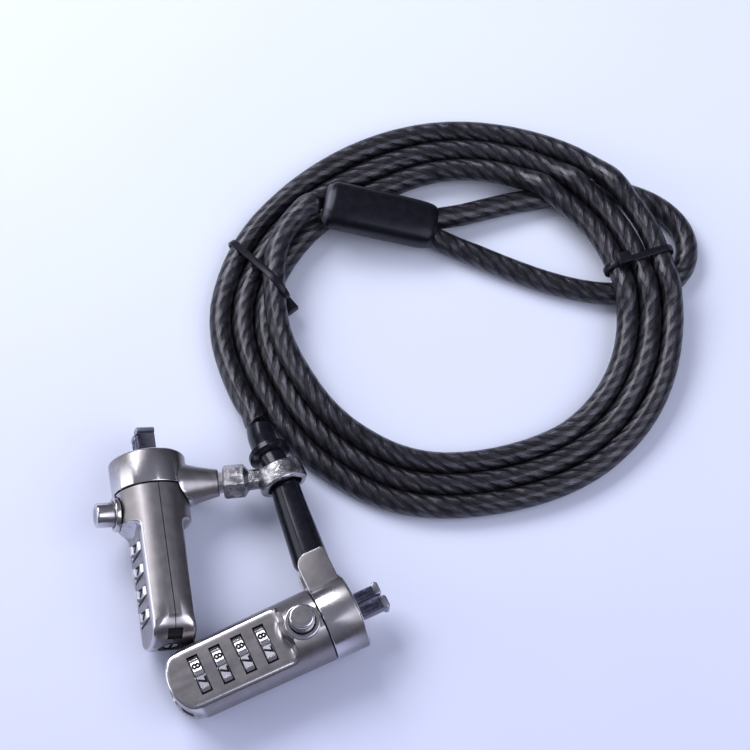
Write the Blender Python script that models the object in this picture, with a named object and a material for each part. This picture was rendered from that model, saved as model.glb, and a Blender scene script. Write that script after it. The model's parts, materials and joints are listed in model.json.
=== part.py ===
"""Laptop cable lock: two combination heads on one coiled steel cable with a crimped loop."""
import math

import bmesh
import bpy
from mathutils import Matrix, Vector

MM = 0.001

# ---------------------------------------------------------------- driving sizes
GAP = 0.3 * MM
# lock head, measured along its own axis: 0 at the collar seam, the tail at minus BODY_LENGTH
BODY_LENGTH = 37.4 * MM
BODY_RADIUS = 8.7 * MM
TAIL_RADIUS = 8.35 * MM
FLAT_HEIGHT = 5.1 * MM
EDGE_ROUND = 0.6 * MM
TAIL_HALF_WIDTH = 7.8 * MM
TAIL_DEPTH = 5.5 * MM
BARREL_START = -9.8 * MM
BARREL_RAMP = 2.0 * MM
SCOOP_OUTER = 6.6 * MM
SCOOP_INNER = 4.3 * MM
SCOOP_RISE = 3.6 * MM

DIAL_COUNT = 4
DIAL_FIRST = -13.7 * MM
DIAL_PITCH = 5.4 * MM
DIAL_DIGITS = 10
DIAL_WIDTH = 2.2 * MM
DIAL_RIDGE_RADIUS = 6.6 * MM
DIAL_FACET_RADIUS = 6.2 * MM
# angle from a ridge's crest to the foot of its slope
DIAL_FLANK = 8.0
SLOT_RADIUS = DIAL_RIDGE_RADIUS + GAP
SLOT_WIDTH = DIAL_WIDTH + 1.6 * GAP
SPINDLE_RADIUS = 1.8 * MM
SPINDLE_FRONT = -10.6 * MM
SPINDLE_TAIL = -36.8 * MM
SCREW_SLOT_WIDTH = 0.7 * MM
SCREW_SLOT_DEPTH = 1.0 * MM

INSERT_FRONT = -33.6 * MM
INSERT_FACE = -36.9 * MM
INSERT_RADIUS = 2.9 * MM
INSERT_TAB_HALF = 1.6 * MM
INSERT_TAB_REACH = 6.6 * MM

BUTTON_X = -4.4 * MM
BUTTON_RADIUS = 2.9 * MM
BUTTON_BOTTOM = 8.4 * MM
BUTTON_TOP = 13.7 * MM
BUTTON_TRAVEL = 1.5 * MM
BUTTON_FLOOR = BUTTON_BOTTOM - BUTTON_TRAVEL - GAP
BEZEL_RADIUS = 4.1 * MM
BEZEL_TOP = 9.5 * MM
BEZEL_THICK = 0.9 * MM
BOSS_TOP = BEZEL_TOP - BEZEL_THICK - GAP

COLLAR_RADIUS = 9.0 * MM
COLLAR_LENGTH = 8.6 * MM
COLLAR_ROUND = 0.8 * MM
COLLAR_BACK_BEVEL = 0.2 * MM
NOSE_STEM_RADIUS = 5.0 * MM
NOSE_STEM_BACK = -2.4 * MM
NOSE_KEY_RADIUS = 5.9 * MM
NOSE_KEY_WIDTH = 1.2 * MM
NOSE_FLANGE_RADIUS = 6.2 * MM
NOSE_FLANGE_THICK = 1.2 * MM
NOSE_FACE = COLLAR_LENGTH - 0.15 * MM
NOSE_BORE_RADIUS = 3.95 * MM
NOSE_BORE_BACK = -1.8 * MM

HOOK_PIVOT_X = 0.4 * MM
HOOK_INNER = 0.3 * MM
HOOK_OUTER = 2.9 * MM
HOOK_HALF_HEIGHT = 2.2 * MM
HOOK_HEAD_LENGTH = 1.5 * MM
HOOK_BARB = 0.5 * MM
HOOK_TIP_NEAR = 16.0 * MM
HOOK_TIP_FAR = 15.5 * MM
HOOK_PIN_RADIUS = 0.55 * MM
HOOK_PIN_HALF = 3.0 * MM

# lock A lies on its collar with the dial plate up; lock B leans on its side
AXIS_HEIGHT = COLLAR_RADIUS
LOCK_A_SEAM = Vector((-12.3, -65.4)) * MM
LOCK_A_HEADING = 25.6
LOCK_B_SEAM = Vector((-52.5, -34.1)) * MM
LOCK_B_HEADING = 99.5
LOCK_B_ROLL = -73.0

EAR_BACK = 0.3 * MM
EAR_FRONT = 7.7 * MM
EAR_ROOT = 5.8 * MM
EAR_REACH = 15.4 * MM
EAR_TOP = 5.9 * MM
EAR_THICK = 1.3 * MM
EAR_ROUND_BACK = 3.0 * MM
EAR_ROUND_FRONT = 1.0 * MM
CLEVIS_X = 3.9 * MM
CLEVIS_Y = 11.5 * MM
CLEVIS_PIN_RADIUS = 1.2 * MM
CLEVIS_PIN_HALF = 5.2 * MM

TONGUE_RADIUS = 2.1 * MM
TONGUE_HALF_THICK = 1.5 * MM
TONGUE_NECK_SHARE = 0.7
FERRULE_RADIUS = 2.2 * MM
FERRULE_START = 3.0 * MM
FERRULE_END = 22.0 * MM
BOOT_START = 1.8 * MM
BOOT_EAR_RADIUS = 4.25 * MM
BOOT_RING_RADIUS = 3.3 * MM
BOOT_FLANGE_RADIUS = 5.0 * MM
BOOT_FLANGE_THICK = 1.6 * MM
# the boot leaves the clevis pin and bends to run in under the coil
BOOT_ROUTE = [(-16.4, -45.8, 9.0), (-19.3, -37.6, 9.0), (-22.05, -29.62, 9.0), (-24.9, -23.8, 8.1),
              (-26.7, -19.6, 6.4), (-27.4, -16.4, 5.4)]
BOOT_STATIONS = 12
BOOT_TAPER_STATION = 7
BOOT_FLANGE_AT = 3
# rounded end: share of the first step along the route, share of the full radius
BOOT_DOME = [(0.0, 0.74), (0.18, 0.93), (0.5, 1.0)]

EYE_CENTRE = Vector((-22.05, -29.62, 9.0)) * MM
EYE_HEADING = 114.0
EYE_OUTER = 5.8 * MM
EYE_INNER = 4.3 * MM
EYE_LENGTH = 5.0 * MM
EYE_EDGE = 0.9 * MM
NUT_START = 8.7 * MM
NUT_LENGTH = 4.9 * MM
NUT_RADIUS = 4.2 * MM
NUT_NECK_RADIUS = 0.62 * NUT_RADIUS
NUT_BEVEL = 0.6 * MM
STUD_RADIUS = 2.45 * MM
STUD_IN_ARM = 2.6 * MM
ARM_SOCKET_DEPTH = STUD_IN_ARM + 0.4 * MM
ARM_TIP_RADIUS = 3.25 * MM
ARM_TIP_BEVEL = 0.5 * MM
# the root flares out over the last stretch toward the collar
ARM_ROOT_RADIUS = 5.8 * MM
ARM_CONE_RADIUS = 4.9 * MM
ARM_FILLET_LENGTH = 1.4 * MM
ARM_ROOT = Vector((-46.4, -32.1, 9.0)) * MM
ARM_TIP = Vector((-36.6, -31.1, 9.0)) * MM
ARM_WEB_GAP = 0.3 * MM

CABLE_DIAMETER = 5.5 * MM
CABLE_RADIUS = CABLE_DIAMETER / 2
# middle of the bundle of turns: x, y, width across the turns
COIL_RING = [(-31.0, 7.5, 17.4), (-26.5, 30.0, 20.4), (-9.0, 50.0, 19.0), (15.0, 60.6, 16.8),
             (39.5, 56.4, 16.6), (58.5, 41.5, 16.4), (67.8, 19.0, 14.2), (65.0, -2.8, 13.4),
             (51.5, -20.6, 13.8), (28.2, -29.2, 15.4), (5.0, -29.2, 14.6), (-14.0, -16.4, 10.4)]
COIL_HEIGHT = 10.8 * MM
COIL_LOW_HEIGHT = 5.8 * MM
# along the ring, in twelfths of a round: where the turns climb over the loop's legs
LOOP_CROSSINGS = [4.55, 5.95]
LIFT_REACH = 0.75
LIFT_FADE = 0.45
LIFT_HEIGHT = CABLE_DIAMETER + 2 * GAP
# where only the lower layer is left below the sleeve and the strand that runs into it
LOW_START = 1.3
LOW_END = 2.35
LOW_FADE = 0.2

TIE_LEFT_AT = 0.8
TIE_LEFT_SKEW = 0.5
TIE_RIGHT_AT = 5.62
TIE_WIDTH = 2.0 * MM
TIE_THICK = 0.9 * MM
TIE_CLEARANCE = 0.45 * MM
TIE_FLOOR = TIE_THICK + TIE_CLEARANCE + 0.1 * MM
TIE_LIFT_REACH = 0.22
TIE_LIFT_FADE = 0.25
# how far the head stands from the middle of the turns, as a share of their half width
TIE_HEAD_OUT = 0.72
TIE_HEAD_SINK = 0.4 * MM
TIE_HEAD = (4.0 * MM, 3.8 * MM, 3.2 * MM)

SLEEVE_LEFT = Vector((-12.4, 41.8, 10.2)) * MM
SLEEVE_RIGHT = Vector((15.2, 37.4, 5.2)) * MM
SLEEVE_HALF_WIDTH = 6.2 * MM
SLEEVE_HALF_HEIGHT = 3.9 * MM
# share of its length, share of its full section
SLEEVE_SHAPE = [(0.0, 0.72), (0.02, 0.86), (0.06, 1.0), (0.5, 1.0), (0.86, 1.0), (0.96, 0.9), (1.0, 0.8)]
# the loop leaves the sleeve, passes under the right side of the coil and comes back under the top
LOOP_ROUTE = [(15.9, 34.6, 4.0), (23.0, 31.6, 3.0), (33.0, 27.2, 2.8), (45.6, 22.0, 2.8), (57.0, 19.4, 2.8),
              (68.5, 19.8, 2.8), (76.2, 23.4, 2.8), (79.8, 30.8, 2.8), (78.4, 39.0, 2.8), (71.6, 45.8, 2.8),
              (61.7, 49.6, 2.8), (50.0, 50.2, 2.8), (38.5, 47.6, 2.8), (28.0, 43.4, 3.2), (16.6, 40.4, 4.6)]
LOOP_POINTS = 38
TAIL_ROUTE = [(-20.4, 36.4, 9.3), (-18.8, 39.2, 9.5), (-16.8, 41.2, 9.8), (-13.9, 42.0, 10.1)]
TAIL_POINTS = 5
LEAD_POINTS = 4
LEAD_ROUTE = [(-27.65, -15.3, 5.05), (-29.2, -12.6, 4.2), (-30.4, -11.8, 3.8), (-31.8, -10.9, 3.4)]

OVAL_POWER = 0.75
SEGMENTS = 36
SMALL_SEGMENTS = 18


# ---------------------------------------------------------------- mesh helpers
def clear_scene():
    for item in list(bpy.data.objects):
        bpy.data.objects.remove(item, do_unlink=True)


def material(name, colour, metallic, roughness):
    made = bpy.data.materials.new(name)
    made.use_nodes = True
    shader = made.node_tree.nodes["Principled BSDF"]
    shader.inputs["Base Color"].default_value = (*colour, 1.0)
    shader.inputs["Metallic"].default_value = metallic
    shader.inputs["Roughness"].default_value = roughness
    return made


def add_object(name, mesh, finish, parent):
    item = bpy.data.objects.new(name, mesh)
    bpy.context.scene.collection.objects.link(item)
    item.parent = parent
    if finish is not None:
        look = material(name + "_finish", *finish)
        mesh.materials.append(look)
    return item


def mesh_from(name, points, faces):
    builder = bmesh.new()
    corners = [builder.verts.new(point) for point in points]
    for face in faces:
        builder.faces.new([corners[index] for index in face])
    bmesh.ops.recalc_face_normals(builder, faces=builder.faces)
    mesh = bpy.data.meshes.new(name)
    builder.to_mesh(mesh)
    builder.free()
    return mesh


def loft(name, sections, closed=False):
    """Skin over equal-count loops; capped at both ends unless the row of loops is closed."""
    count = len(sections[0])
    points = [point for section in sections for point in section]
    faces = []
    rows = len(sections) if closed else len(sections) - 1
    for row in range(rows):
        here = row * count
        after = ((row + 1) % len(sections)) * count
        for index in range(count):
            step = (index + 1) % count
            faces.append((here + index, here + step, after + step, after + index))
    if not closed:
        last = (len(sections) - 1) * count
        faces.append(tuple(range(count)))
        faces.append(tuple(range(last, last + count)))
    return mesh_from(name, points, faces)


def turned(name, profile, segments=SEGMENTS):
    """Solid of revolution about X from (x, radius) pairs with a first and last radius above zero."""
    sections = []
    for along, radius in profile:
        ring = []
        for index in range(segments):
            angle = 2 * math.pi * index / segments
            ring.append((along, radius * math.cos(angle), radius * math.sin(angle)))
        sections.append(ring)
    return loft(name, sections)


def turned_ring(name, profile, segments=SEGMENTS):
    """Ring about X: the closed profile never touches the axis."""
    sections = []
    for index in range(segments):
        angle = 2 * math.pi * index / segments
        sections.append([(x, r * math.cos(angle), r * math.sin(angle)) for x, r in profile])
    return loft(name, sections, closed=True)


def extruded(name, outline, low, high):
    """Plan outline of (x, y) carried from low to high along Z."""
    sections = [[(x, y, level) for x, y in outline] for level in (low, high)]
    return loft(name, sections)


def box(name, low, high):
    outline = [(low[0], low[1]), (high[0], low[1]), (high[0], high[1]), (low[0], high[1])]
    return extruded(name, outline, low[2], high[2])


def turn_to_z(mesh):
    mesh.transform(Matrix.Rotation(math.radians(-90), 4, "Y"))
    return mesh


def upright_rod(name, half, radius, segments=SMALL_SEGMENTS):
    """Round rod along Z, centred on the origin."""
    return turn_to_z(turned(name, [(-half, radius), (half, radius)], segments))


def cutter(name, mesh, parent):
    item = add_object(name, mesh, None, parent)
    item.hide_render = True
    item.display_type = "WIRE"
    return item


def boolean(target, other, operation="DIFFERENCE"):
    step = target.modifiers.new(other.name, "BOOLEAN")
    step.operation = operation
    step.solver = "EXACT"
    step.object = other


def round_shade(item, angle=35.0):
    item.data.shade_smooth()
    for edge in item.data.edges:
        edge.use_edge_sharp = False
    builder = bmesh.new()
    builder.from_mesh(item.data)
    for edge in builder.edges:
        if len(edge.link_faces) == 2 and edge.calc_face_angle(0.0) > math.radians(angle):
            edge.smooth = False
    builder.to_mesh(item.data)
    builder.free()


def empty(name, matrix, parent=None):
    item = bpy.data.objects.new(name, None)
    bpy.context.scene.collection.objects.link(item)
    item.parent = parent
    item.matrix_local = matrix
    return item


def smooth_route(points, count):
    """Points at even steps on a smooth curve through the given ones."""
    fine = []
    last = len(points) - 1
    for index in range(last):
        before = points[max(index - 1, 0)]
        start, end = points[index], points[index + 1]
        after = points[min(index + 2, last)]
        for step in range(20):
            t = step / 20
            fine.append(0.5 * ((2 * start) + (end - before) * t
                               + (2 * before - 5 * start + 4 * end - after) * t ** 2
                               + (3 * start - before - 3 * end + after) * t ** 3))
    fine.append(points[-1])
    lengths = [0.0]
    for index in range(1, len(fine)):
        lengths.append(lengths[-1] + (fine[index] - fine[index - 1]).length)
    row = []
    place = 0
    for step in range(count):
        wanted = lengths[-1] * step / (count - 1)
        while place < len(fine) - 2 and lengths[place + 1] < wanted:
            place += 1
        span = lengths[place + 1] - lengths[place]
        row.append(fine[place].lerp(fine[place + 1], (wanted - lengths[place]) / span))
    return row


def metres(route):
    return [Vector(point) * MM for point in route]


def swept(name, points, radii, segments, hollow=0.0):
    """Solid round tube, or a sleeve with a bore, along a route with its own radius at each point."""
    sections = []
    for index, point in enumerate(points):
        before = points[max(index - 1, 0)]
        after = points[min(index + 1, len(points) - 1)]
        along = (after - before).normalized()
        side = along.cross(Vector((0, 0, 1))).normalized()
        up = side.cross(along)
        ring = []
        for step in range(segments):
            angle = 2 * math.pi * step / segments
            ring.append((side * math.cos(angle) + up * math.sin(angle), point))
        sections.append((ring, radii[index]))
    outer = [[point + way * radius for way, point in ring] for ring, radius in sections]
    if hollow == 0.0:
        return loft(name, outer)
    inner = [[point + way * hollow for way, point in ring] for ring, radius in sections]
    return loft(name, outer + inner[::-1], closed=True)


# ---------------------------------------------------------------- lock head
def dial_centre(index):
    return DIAL_FIRST - DIAL_PITCH * index


def rounded_most(first, second, radius):
    """The larger of two distances, with the corner between them rounded."""
    corner = math.hypot(max(first + radius, 0.0), max(second + radius, 0.0)) - radius
    return min(max(first, second), -radius) + max(corner + radius, 0.0)


def quarter_rise(depth):
    """A hollow quarter curve: 0 at depth 0, SCOOP_RISE at depth 1."""
    if depth <= 0.0:
        return 0.0
    if depth >= 1.0:
        return SCOOP_RISE
    return SCOOP_RISE * (1.0 - math.sqrt(1.0 - depth * depth))


def body_distance(x, y, z):
    """Below zero inside the head's outer skin."""
    share = min(max(-x / BODY_LENGTH, 0.0), 1.0)
    side = math.hypot(y, z) - (BODY_RADIUS + (TAIL_RADIUS - BODY_RADIUS) * share)
    rise = quarter_rise((x - BARREL_START) / BARREL_RAMP)
    if z > 0:
        from_button = math.hypot(x - BUTTON_X, y)
        rise = max(rise, quarter_rise((SCOOP_OUTER - from_button) / (SCOOP_OUTER - SCOOP_INNER)))
    flat = abs(z) - FLAT_HEIGHT - rise
    skin = rounded_most(side, flat, EDGE_ROUND)
    shoulder = -BODY_LENGTH + TAIL_DEPTH
    if x < shoulder:
        reach = math.hypot((shoulder - x) / TAIL_DEPTH, y / TAIL_HALF_WIDTH)
        end = (reach - 1.0) * TAIL_DEPTH
        skin = rounded_most(skin, end, EDGE_ROUND)
    return skin


def skin_reach(x, across, up):
    """How far the skin lies from the axis along one direction of the cross-section."""
    near, far = 0.0, 2 * BODY_RADIUS
    for step in range(30):
        middle = (near + far) / 2
        if body_distance(x, across * middle, up * middle) < 0:
            near = middle
        else:
            far = middle
    return near


def half_section(x, side, count=19):
    """Outline of the upper (side 1) or lower (side -1) shell at one place along the axis."""
    wide = skin_reach(x, 1.0, 0.0)
    tall = skin_reach(x, 0.0, side)
    row = []
    for index in range(count):
        angle = math.pi * index / (count - 1)
        across, up = wide * math.cos(angle), side * tall * math.sin(angle)
        size = math.hypot(across, up)
        reach = skin_reach(x, across / size, up / size)
        level = max(abs(up / size) * reach, GAP / 2)
        row.append((x, across / size * reach, side * level))
    return row


def shell_stations():
    """Places along the axis where the shell's section is worked out, closest at the tail and scoop."""
    tail = [-BODY_LENGTH + depth * MM for depth in (0.12, 0.5, 1.3, 2.6, 5.4)]
    waist = [-22.0 * MM, -12.0 * MM, -11.2 * MM]
    scoop = [-x * MM for x in (10.5, 9.9, 9.3, 8.8, 8.3, 7.6, 6.0, 4.4, 2.2)]
    return tail + waist + scoop + [-GAP / 2]


def hollow_profile():
    """Radii of the bore through the shells, from tail to collar."""
    bore = SPINDLE_RADIUS + GAP
    row = [(INSERT_FRONT - GAP, bore)]
    for index in reversed(range(DIAL_COUNT)):
        back = dial_centre(index) - SLOT_WIDTH / 2
        front = dial_centre(index) + SLOT_WIDTH / 2
        row += [(back, bore), (back, SLOT_RADIUS), (front, SLOT_RADIUS), (front, bore)]
    row.append((SPINDLE_FRONT + GAP, bore))
    return row


def insert_outline(grow):
    """Plan of the tab that fills the split at the tail; grow widens it to the opening."""
    row = []
    reach = INSERT_TAB_REACH + grow
    front = -BODY_LENGTH + GAP - 2 * grow
    for index in range(9):
        across = -reach * index / 8
        inset = TAIL_DEPTH * (1.0 - math.sqrt(1.0 - (across / (TAIL_HALF_WIDTH + 2 * grow)) ** 2))
        row.append((max(front + inset, INSERT_FACE - 4 * grow), across))
    row.append((INSERT_FRONT + grow, -reach))
    row.append((INSERT_FRONT + grow, 0.0))
    return row


def build_shell(tag, which, side, frame, finish):
    name = f"{which}_shell_{tag}"
    sections = [half_section(x, side) for x in shell_stations()]
    shell = add_object(name, loft(name, sections), finish, frame)
    round_shade(shell)
    hollow = cutter(f"cut_{which}_dials_{tag}", turned("hollow", hollow_profile(), 24), frame)
    boolean(shell, hollow)
    key_back = NOSE_STEM_BACK - GAP
    key_front = NOSE_STEM_BACK + NOSE_KEY_WIDTH + GAP
    nose = [(key_back, NOSE_KEY_RADIUS + GAP), (key_front, NOSE_KEY_RADIUS + GAP),
            (key_front, NOSE_STEM_RADIUS + GAP), (5 * GAP, NOSE_STEM_RADIUS + GAP)]
    boolean(shell, cutter(f"cut_{which}_nose_{tag}", turned("nose_bore", nose, 24), frame))
    tail = turned("tail_bore", [(-BODY_LENGTH - MM, INSERT_RADIUS + GAP),
                                (INSERT_FRONT + GAP, INSERT_RADIUS + GAP)], 18)
    boolean(shell, cutter(f"cut_{which}_tail_{tag}", tail, frame))
    tab = extruded("tab_slot", insert_outline(GAP), -INSERT_TAB_HALF - GAP, INSERT_TAB_HALF + GAP)
    boolean(shell, cutter(f"cut_{which}_tab_{tag}", tab, frame))
    if side > 0:
        well = turn_to_z(turned("button_well", [(BUTTON_FLOOR, BUTTON_RADIUS + GAP),
                                                (BOSS_TOP, BUTTON_RADIUS + GAP),
                                                (BOSS_TOP, BEZEL_RADIUS + GAP),
                                                (2 * BODY_RADIUS, BEZEL_RADIUS + GAP)], 24))
        item = cutter(f"cut_well_{tag}", well, frame)
        item.location = (BUTTON_X, 0, 0)
        boolean(shell, item)
    return shell


def dial_mesh():
    """Ten shallow facets, each edged by a raised ridge where two digits meet."""
    flank = math.radians(DIAL_FLANK)
    step = 2 * math.pi / DIAL_DIGITS
    outline = []
    for index in range(DIAL_DIGITS):
        centre = math.pi / 2 + step * index
        outline.append((DIAL_FACET_RADIUS, centre - flank))
        outline.append((DIAL_RIDGE_RADIUS, centre))
        outline.append((DIAL_FACET_RADIUS, centre + flank))
    bore = [(SPINDLE_RADIUS + GAP, angle) for radius, angle in outline]
    half = DIAL_WIDTH / 2
    sections = []
    for x, row in ((-half, outline), (half, outline), (half, bore), (-half, bore)):
        sections.append([(x, r * math.cos(a), r * math.sin(a)) for r, a in row])
    return loft("dial", sections, closed=True)


def hook_mesh(side, tip):
    """One prong: round root on its pin, straight shank, barbed head. Pivot at the origin."""
    half = (HOOK_OUTER - HOOK_INNER) / 2
    head = tip - HOOK_HEAD_LENGTH - HOOK_PIVOT_X
    end = tip - HOOK_PIVOT_X
    outline = []
    for index in range(9):
        angle = math.radians(90 + 180 * index / 8)
        outline.append((half * math.cos(angle), half * math.sin(angle)))
    outline += [(end - 0.3 * MM, -half), (end, -half + 0.3 * MM), (end, half + HOOK_BARB - 0.4 * MM),
                (end - 0.4 * MM, half + HOOK_BARB), (head + 0.3 * MM, half + HOOK_BARB), (head, half)]
    placed = [(x, side * y) for x, y in outline]
    return extruded("hook", placed, -HOOK_HALF_HEIGHT, HOOK_HALF_HEIGHT)


def build_head(tag, seam, heading, roll, group):
    """One lock with its axis at AXIS_HEIGHT; returns its empty, its collar and its placement."""
    steel = ((0.56, 0.56, 0.58), 1.0, 0.32)
    dark = ((0.05, 0.05, 0.07), 0.9, 0.35)
    black = ((0.02, 0.02, 0.022), 0.0, 0.45)
    turn = Matrix.Rotation(math.radians(heading), 4, "Z") @ Matrix.Rotation(math.radians(roll), 4, "X")
    place = Matrix.Translation((seam.x, seam.y, AXIS_HEIGHT)) @ turn
    frame = empty(f"head_{tag}", place, group)
    build_shell(tag, "top", 1, frame, steel)
    build_shell(tag, "bottom", -1, frame, steel)

    wheel = dial_mesh()
    for index in range(DIAL_COUNT):
        dial = add_object(f"dial_{tag}{index + 1}", wheel.copy(), steel, frame)
        dial.location = (dial_centre(index), 0, 0)

    spindle = add_object(f"reset_spindle_{tag}",
                         turned("spindle", [(SPINDLE_TAIL, SPINDLE_RADIUS), (SPINDLE_FRONT, SPINDLE_RADIUS)],
                                SMALL_SEGMENTS), steel, frame)
    round_shade(spindle)
    slot = box("slot", (SPINDLE_TAIL - MM, -2 * SPINDLE_RADIUS, -SCREW_SLOT_WIDTH / 2),
               (SPINDLE_TAIL + SCREW_SLOT_DEPTH, 2 * SPINDLE_RADIUS, SCREW_SLOT_WIDTH / 2))
    boolean(spindle, cutter(f"cut_slot_{tag}", slot, frame))

    tab = extruded("insert", insert_outline(0.0), -INSERT_TAB_HALF, INSERT_TAB_HALF)
    insert = add_object(f"end_insert_{tag}", tab, black, frame)
    disc = turned("insert_disc", [(INSERT_FACE - 0.1 * MM, INSERT_RADIUS),
                                  (INSERT_FRONT - 0.1 * MM, INSERT_RADIUS)], SMALL_SEGMENTS)
    boolean(insert, cutter(f"add_disc_{tag}", disc, frame), "UNION")
    bore = turned("insert_bore", [(-BODY_LENGTH - MM, SPINDLE_RADIUS + GAP),
                                  (INSERT_FRONT + MM, SPINDLE_RADIUS + GAP)], SMALL_SEGMENTS)
    boolean(insert, cutter(f"cut_insert_{tag}", bore, frame))

    rim = 0.35 * MM
    cap = turn_to_z(turned("button", [(BUTTON_BOTTOM, BUTTON_RADIUS), (BUTTON_TOP - rim, BUTTON_RADIUS),
                                      (BUTTON_TOP, BUTTON_RADIUS - rim)], 24))
    button = add_object(f"button_{tag}", cap, steel, frame)
    button.location = (BUTTON_X, 0, 0)
    round_shade(button)
    ring = [(BOSS_TOP + GAP, BUTTON_RADIUS + GAP), (BEZEL_TOP, BUTTON_RADIUS + GAP),
            (BEZEL_TOP, BEZEL_RADIUS - rim), (BEZEL_TOP - rim, BEZEL_RADIUS),
            (BOSS_TOP + GAP, BEZEL_RADIUS)]
    bezel = add_object(f"button_bezel_{tag}", turn_to_z(turned_ring("bezel", ring, 24)), steel, frame)
    bezel.location = (BUTTON_X, 0, 0)
    round_shade(bezel)

    flange_back = NOSE_FACE - NOSE_FLANGE_THICK
    plug = [(NOSE_STEM_BACK, NOSE_KEY_RADIUS), (NOSE_STEM_BACK + NOSE_KEY_WIDTH, NOSE_KEY_RADIUS),
            (NOSE_STEM_BACK + NOSE_KEY_WIDTH, NOSE_STEM_RADIUS), (flange_back, NOSE_STEM_RADIUS),
            (flange_back, NOSE_FLANGE_RADIUS), (NOSE_FACE, NOSE_FLANGE_RADIUS)]
    nose = add_object(f"nose_{tag}", turned("nose", plug), steel, frame)
    round_shade(nose)
    mouth = turned("mouth", [(NOSE_BORE_BACK, NOSE_BORE_RADIUS), (NOSE_FACE + MM, NOSE_BORE_RADIUS)], 32)
    boolean(nose, cutter(f"cut_nose_{tag}", mouth, frame))

    for label, side, tip in (("far", 1, HOOK_TIP_FAR), ("near", -1, HOOK_TIP_NEAR)):
        hook = add_object(f"hook_{label}_{tag}", hook_mesh(side, tip), dark, frame)
        hook.location = (HOOK_PIVOT_X, side * (HOOK_INNER + HOOK_OUTER) / 2, 0)
        hole = upright_rod("pin_hole", HOOK_PIN_HALF, HOOK_PIN_RADIUS + GAP, 16)
        item = cutter(f"cut_hook_{label}_{tag}", hole, frame)
        item.location = hook.location
        boolean(hook, item)
        pin_body = upright_rod("pin", HOOK_PIN_HALF, HOOK_PIN_RADIUS, 16)
        pin = add_object(f"hook_pin_{label}_{tag}", pin_body, steel, frame)
        pin.location = hook.location
        round_shade(pin)

    back = GAP / 2
    seat = flange_back - GAP
    bevel = COLLAR_BACK_BEVEL
    profile = [(back, NOSE_STEM_RADIUS + GAP), (back, COLLAR_RADIUS - bevel),
               (back + bevel, COLLAR_RADIUS)]
    for index in range(4):
        angle = math.radians(90 * index / 3)
        profile.append((COLLAR_LENGTH - COLLAR_ROUND + COLLAR_ROUND * math.sin(angle),
                        COLLAR_RADIUS - COLLAR_ROUND + COLLAR_ROUND * math.cos(angle)))
    profile += [(COLLAR_LENGTH, NOSE_FLANGE_RADIUS + GAP), (seat, NOSE_FLANGE_RADIUS + GAP),
                (seat, NOSE_STEM_RADIUS + GAP)]
    collar = add_object(f"collar_{tag}", turned_ring("collar", profile, 36), steel, frame)
    round_shade(collar)
    return frame, collar, place


def rounded_corner(centre, radius, start, end, steps=5):
    row = []
    for index in range(steps + 1):
        angle = math.radians(start + (end - start) * index / steps)
        row.append((centre[0] + radius * math.cos(angle), centre[1] + radius * math.sin(angle)))
    return row


def add_ears(collar, frame):
    front, back = EAR_ROUND_FRONT, EAR_ROUND_BACK
    outline = [(EAR_BACK, EAR_ROOT), (EAR_FRONT, EAR_ROOT)]
    outline += rounded_corner((EAR_FRONT - front, EAR_REACH - front), front, 0, 90)
    outline += rounded_corner((EAR_BACK + back, EAR_REACH - back), back, 90, 180)
    for label, low in (("upper", EAR_TOP - EAR_THICK), ("lower", -EAR_TOP)):
        ear = cutter(f"add_ear_{label}", extruded("ear", outline, low, low + EAR_THICK), frame)
        boolean(collar, ear, "UNION")
    hole = upright_rod("ear_hole", CLEVIS_PIN_HALF + GAP, CLEVIS_PIN_RADIUS + GAP)
    item = cutter("cut_ear_hole", hole, frame)
    item.location = (CLEVIS_X, CLEVIS_Y, 0)
    boolean(collar, item)


def aim_x(start, end):
    """Placement at start with X pointing at end and Z up."""
    along = (end - start).normalized()
    side = Vector((0, 0, 1)).cross(along).normalized()
    up = along.cross(side)
    turn = Matrix((along, side, up)).transposed().to_4x4()
    return Matrix.Translation(start) @ turn


def add_arm(collar, frame, place):
    """Cone from collar B toward the eye; its root reaches over the body behind the seam."""
    across = place.inverted() @ aim_x(ARM_ROOT, ARM_TIP)
    length = (ARM_TIP - ARM_ROOT).length
    bevel = ARM_TIP_BEVEL
    cone = turned("arm", [(0.0, ARM_ROOT_RADIUS), (ARM_FILLET_LENGTH, ARM_CONE_RADIUS),
                          (length - bevel, ARM_TIP_RADIUS), (length, ARM_TIP_RADIUS - bevel)], 24)
    arm = cutter("add_arm", cone, frame)
    arm.matrix_local = across
    boolean(collar, arm, "UNION")
    clear = BODY_RADIUS + ARM_WEB_GAP
    sweep = turned("arm_clear", [(-BODY_LENGTH / 2, clear), (GAP / 2, clear)], 40)
    boolean(collar, cutter("cut_arm_clear", sweep, frame))
    bore = NOSE_STEM_RADIUS + GAP
    inner = turned("arm_bore", [(-GAP, bore), (COLLAR_LENGTH - 2 * MM, bore)])
    boolean(collar, cutter("cut_arm_bore", inner, frame))
    hole = turned("stud_hole", [(length - ARM_SOCKET_DEPTH, STUD_RADIUS + GAP),
                                (length + MM, STUD_RADIUS + GAP)], SMALL_SEGMENTS)
    socket = cutter("cut_stud_hole", hole, frame)
    socket.matrix_local = across
    boolean(collar, socket)


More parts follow.
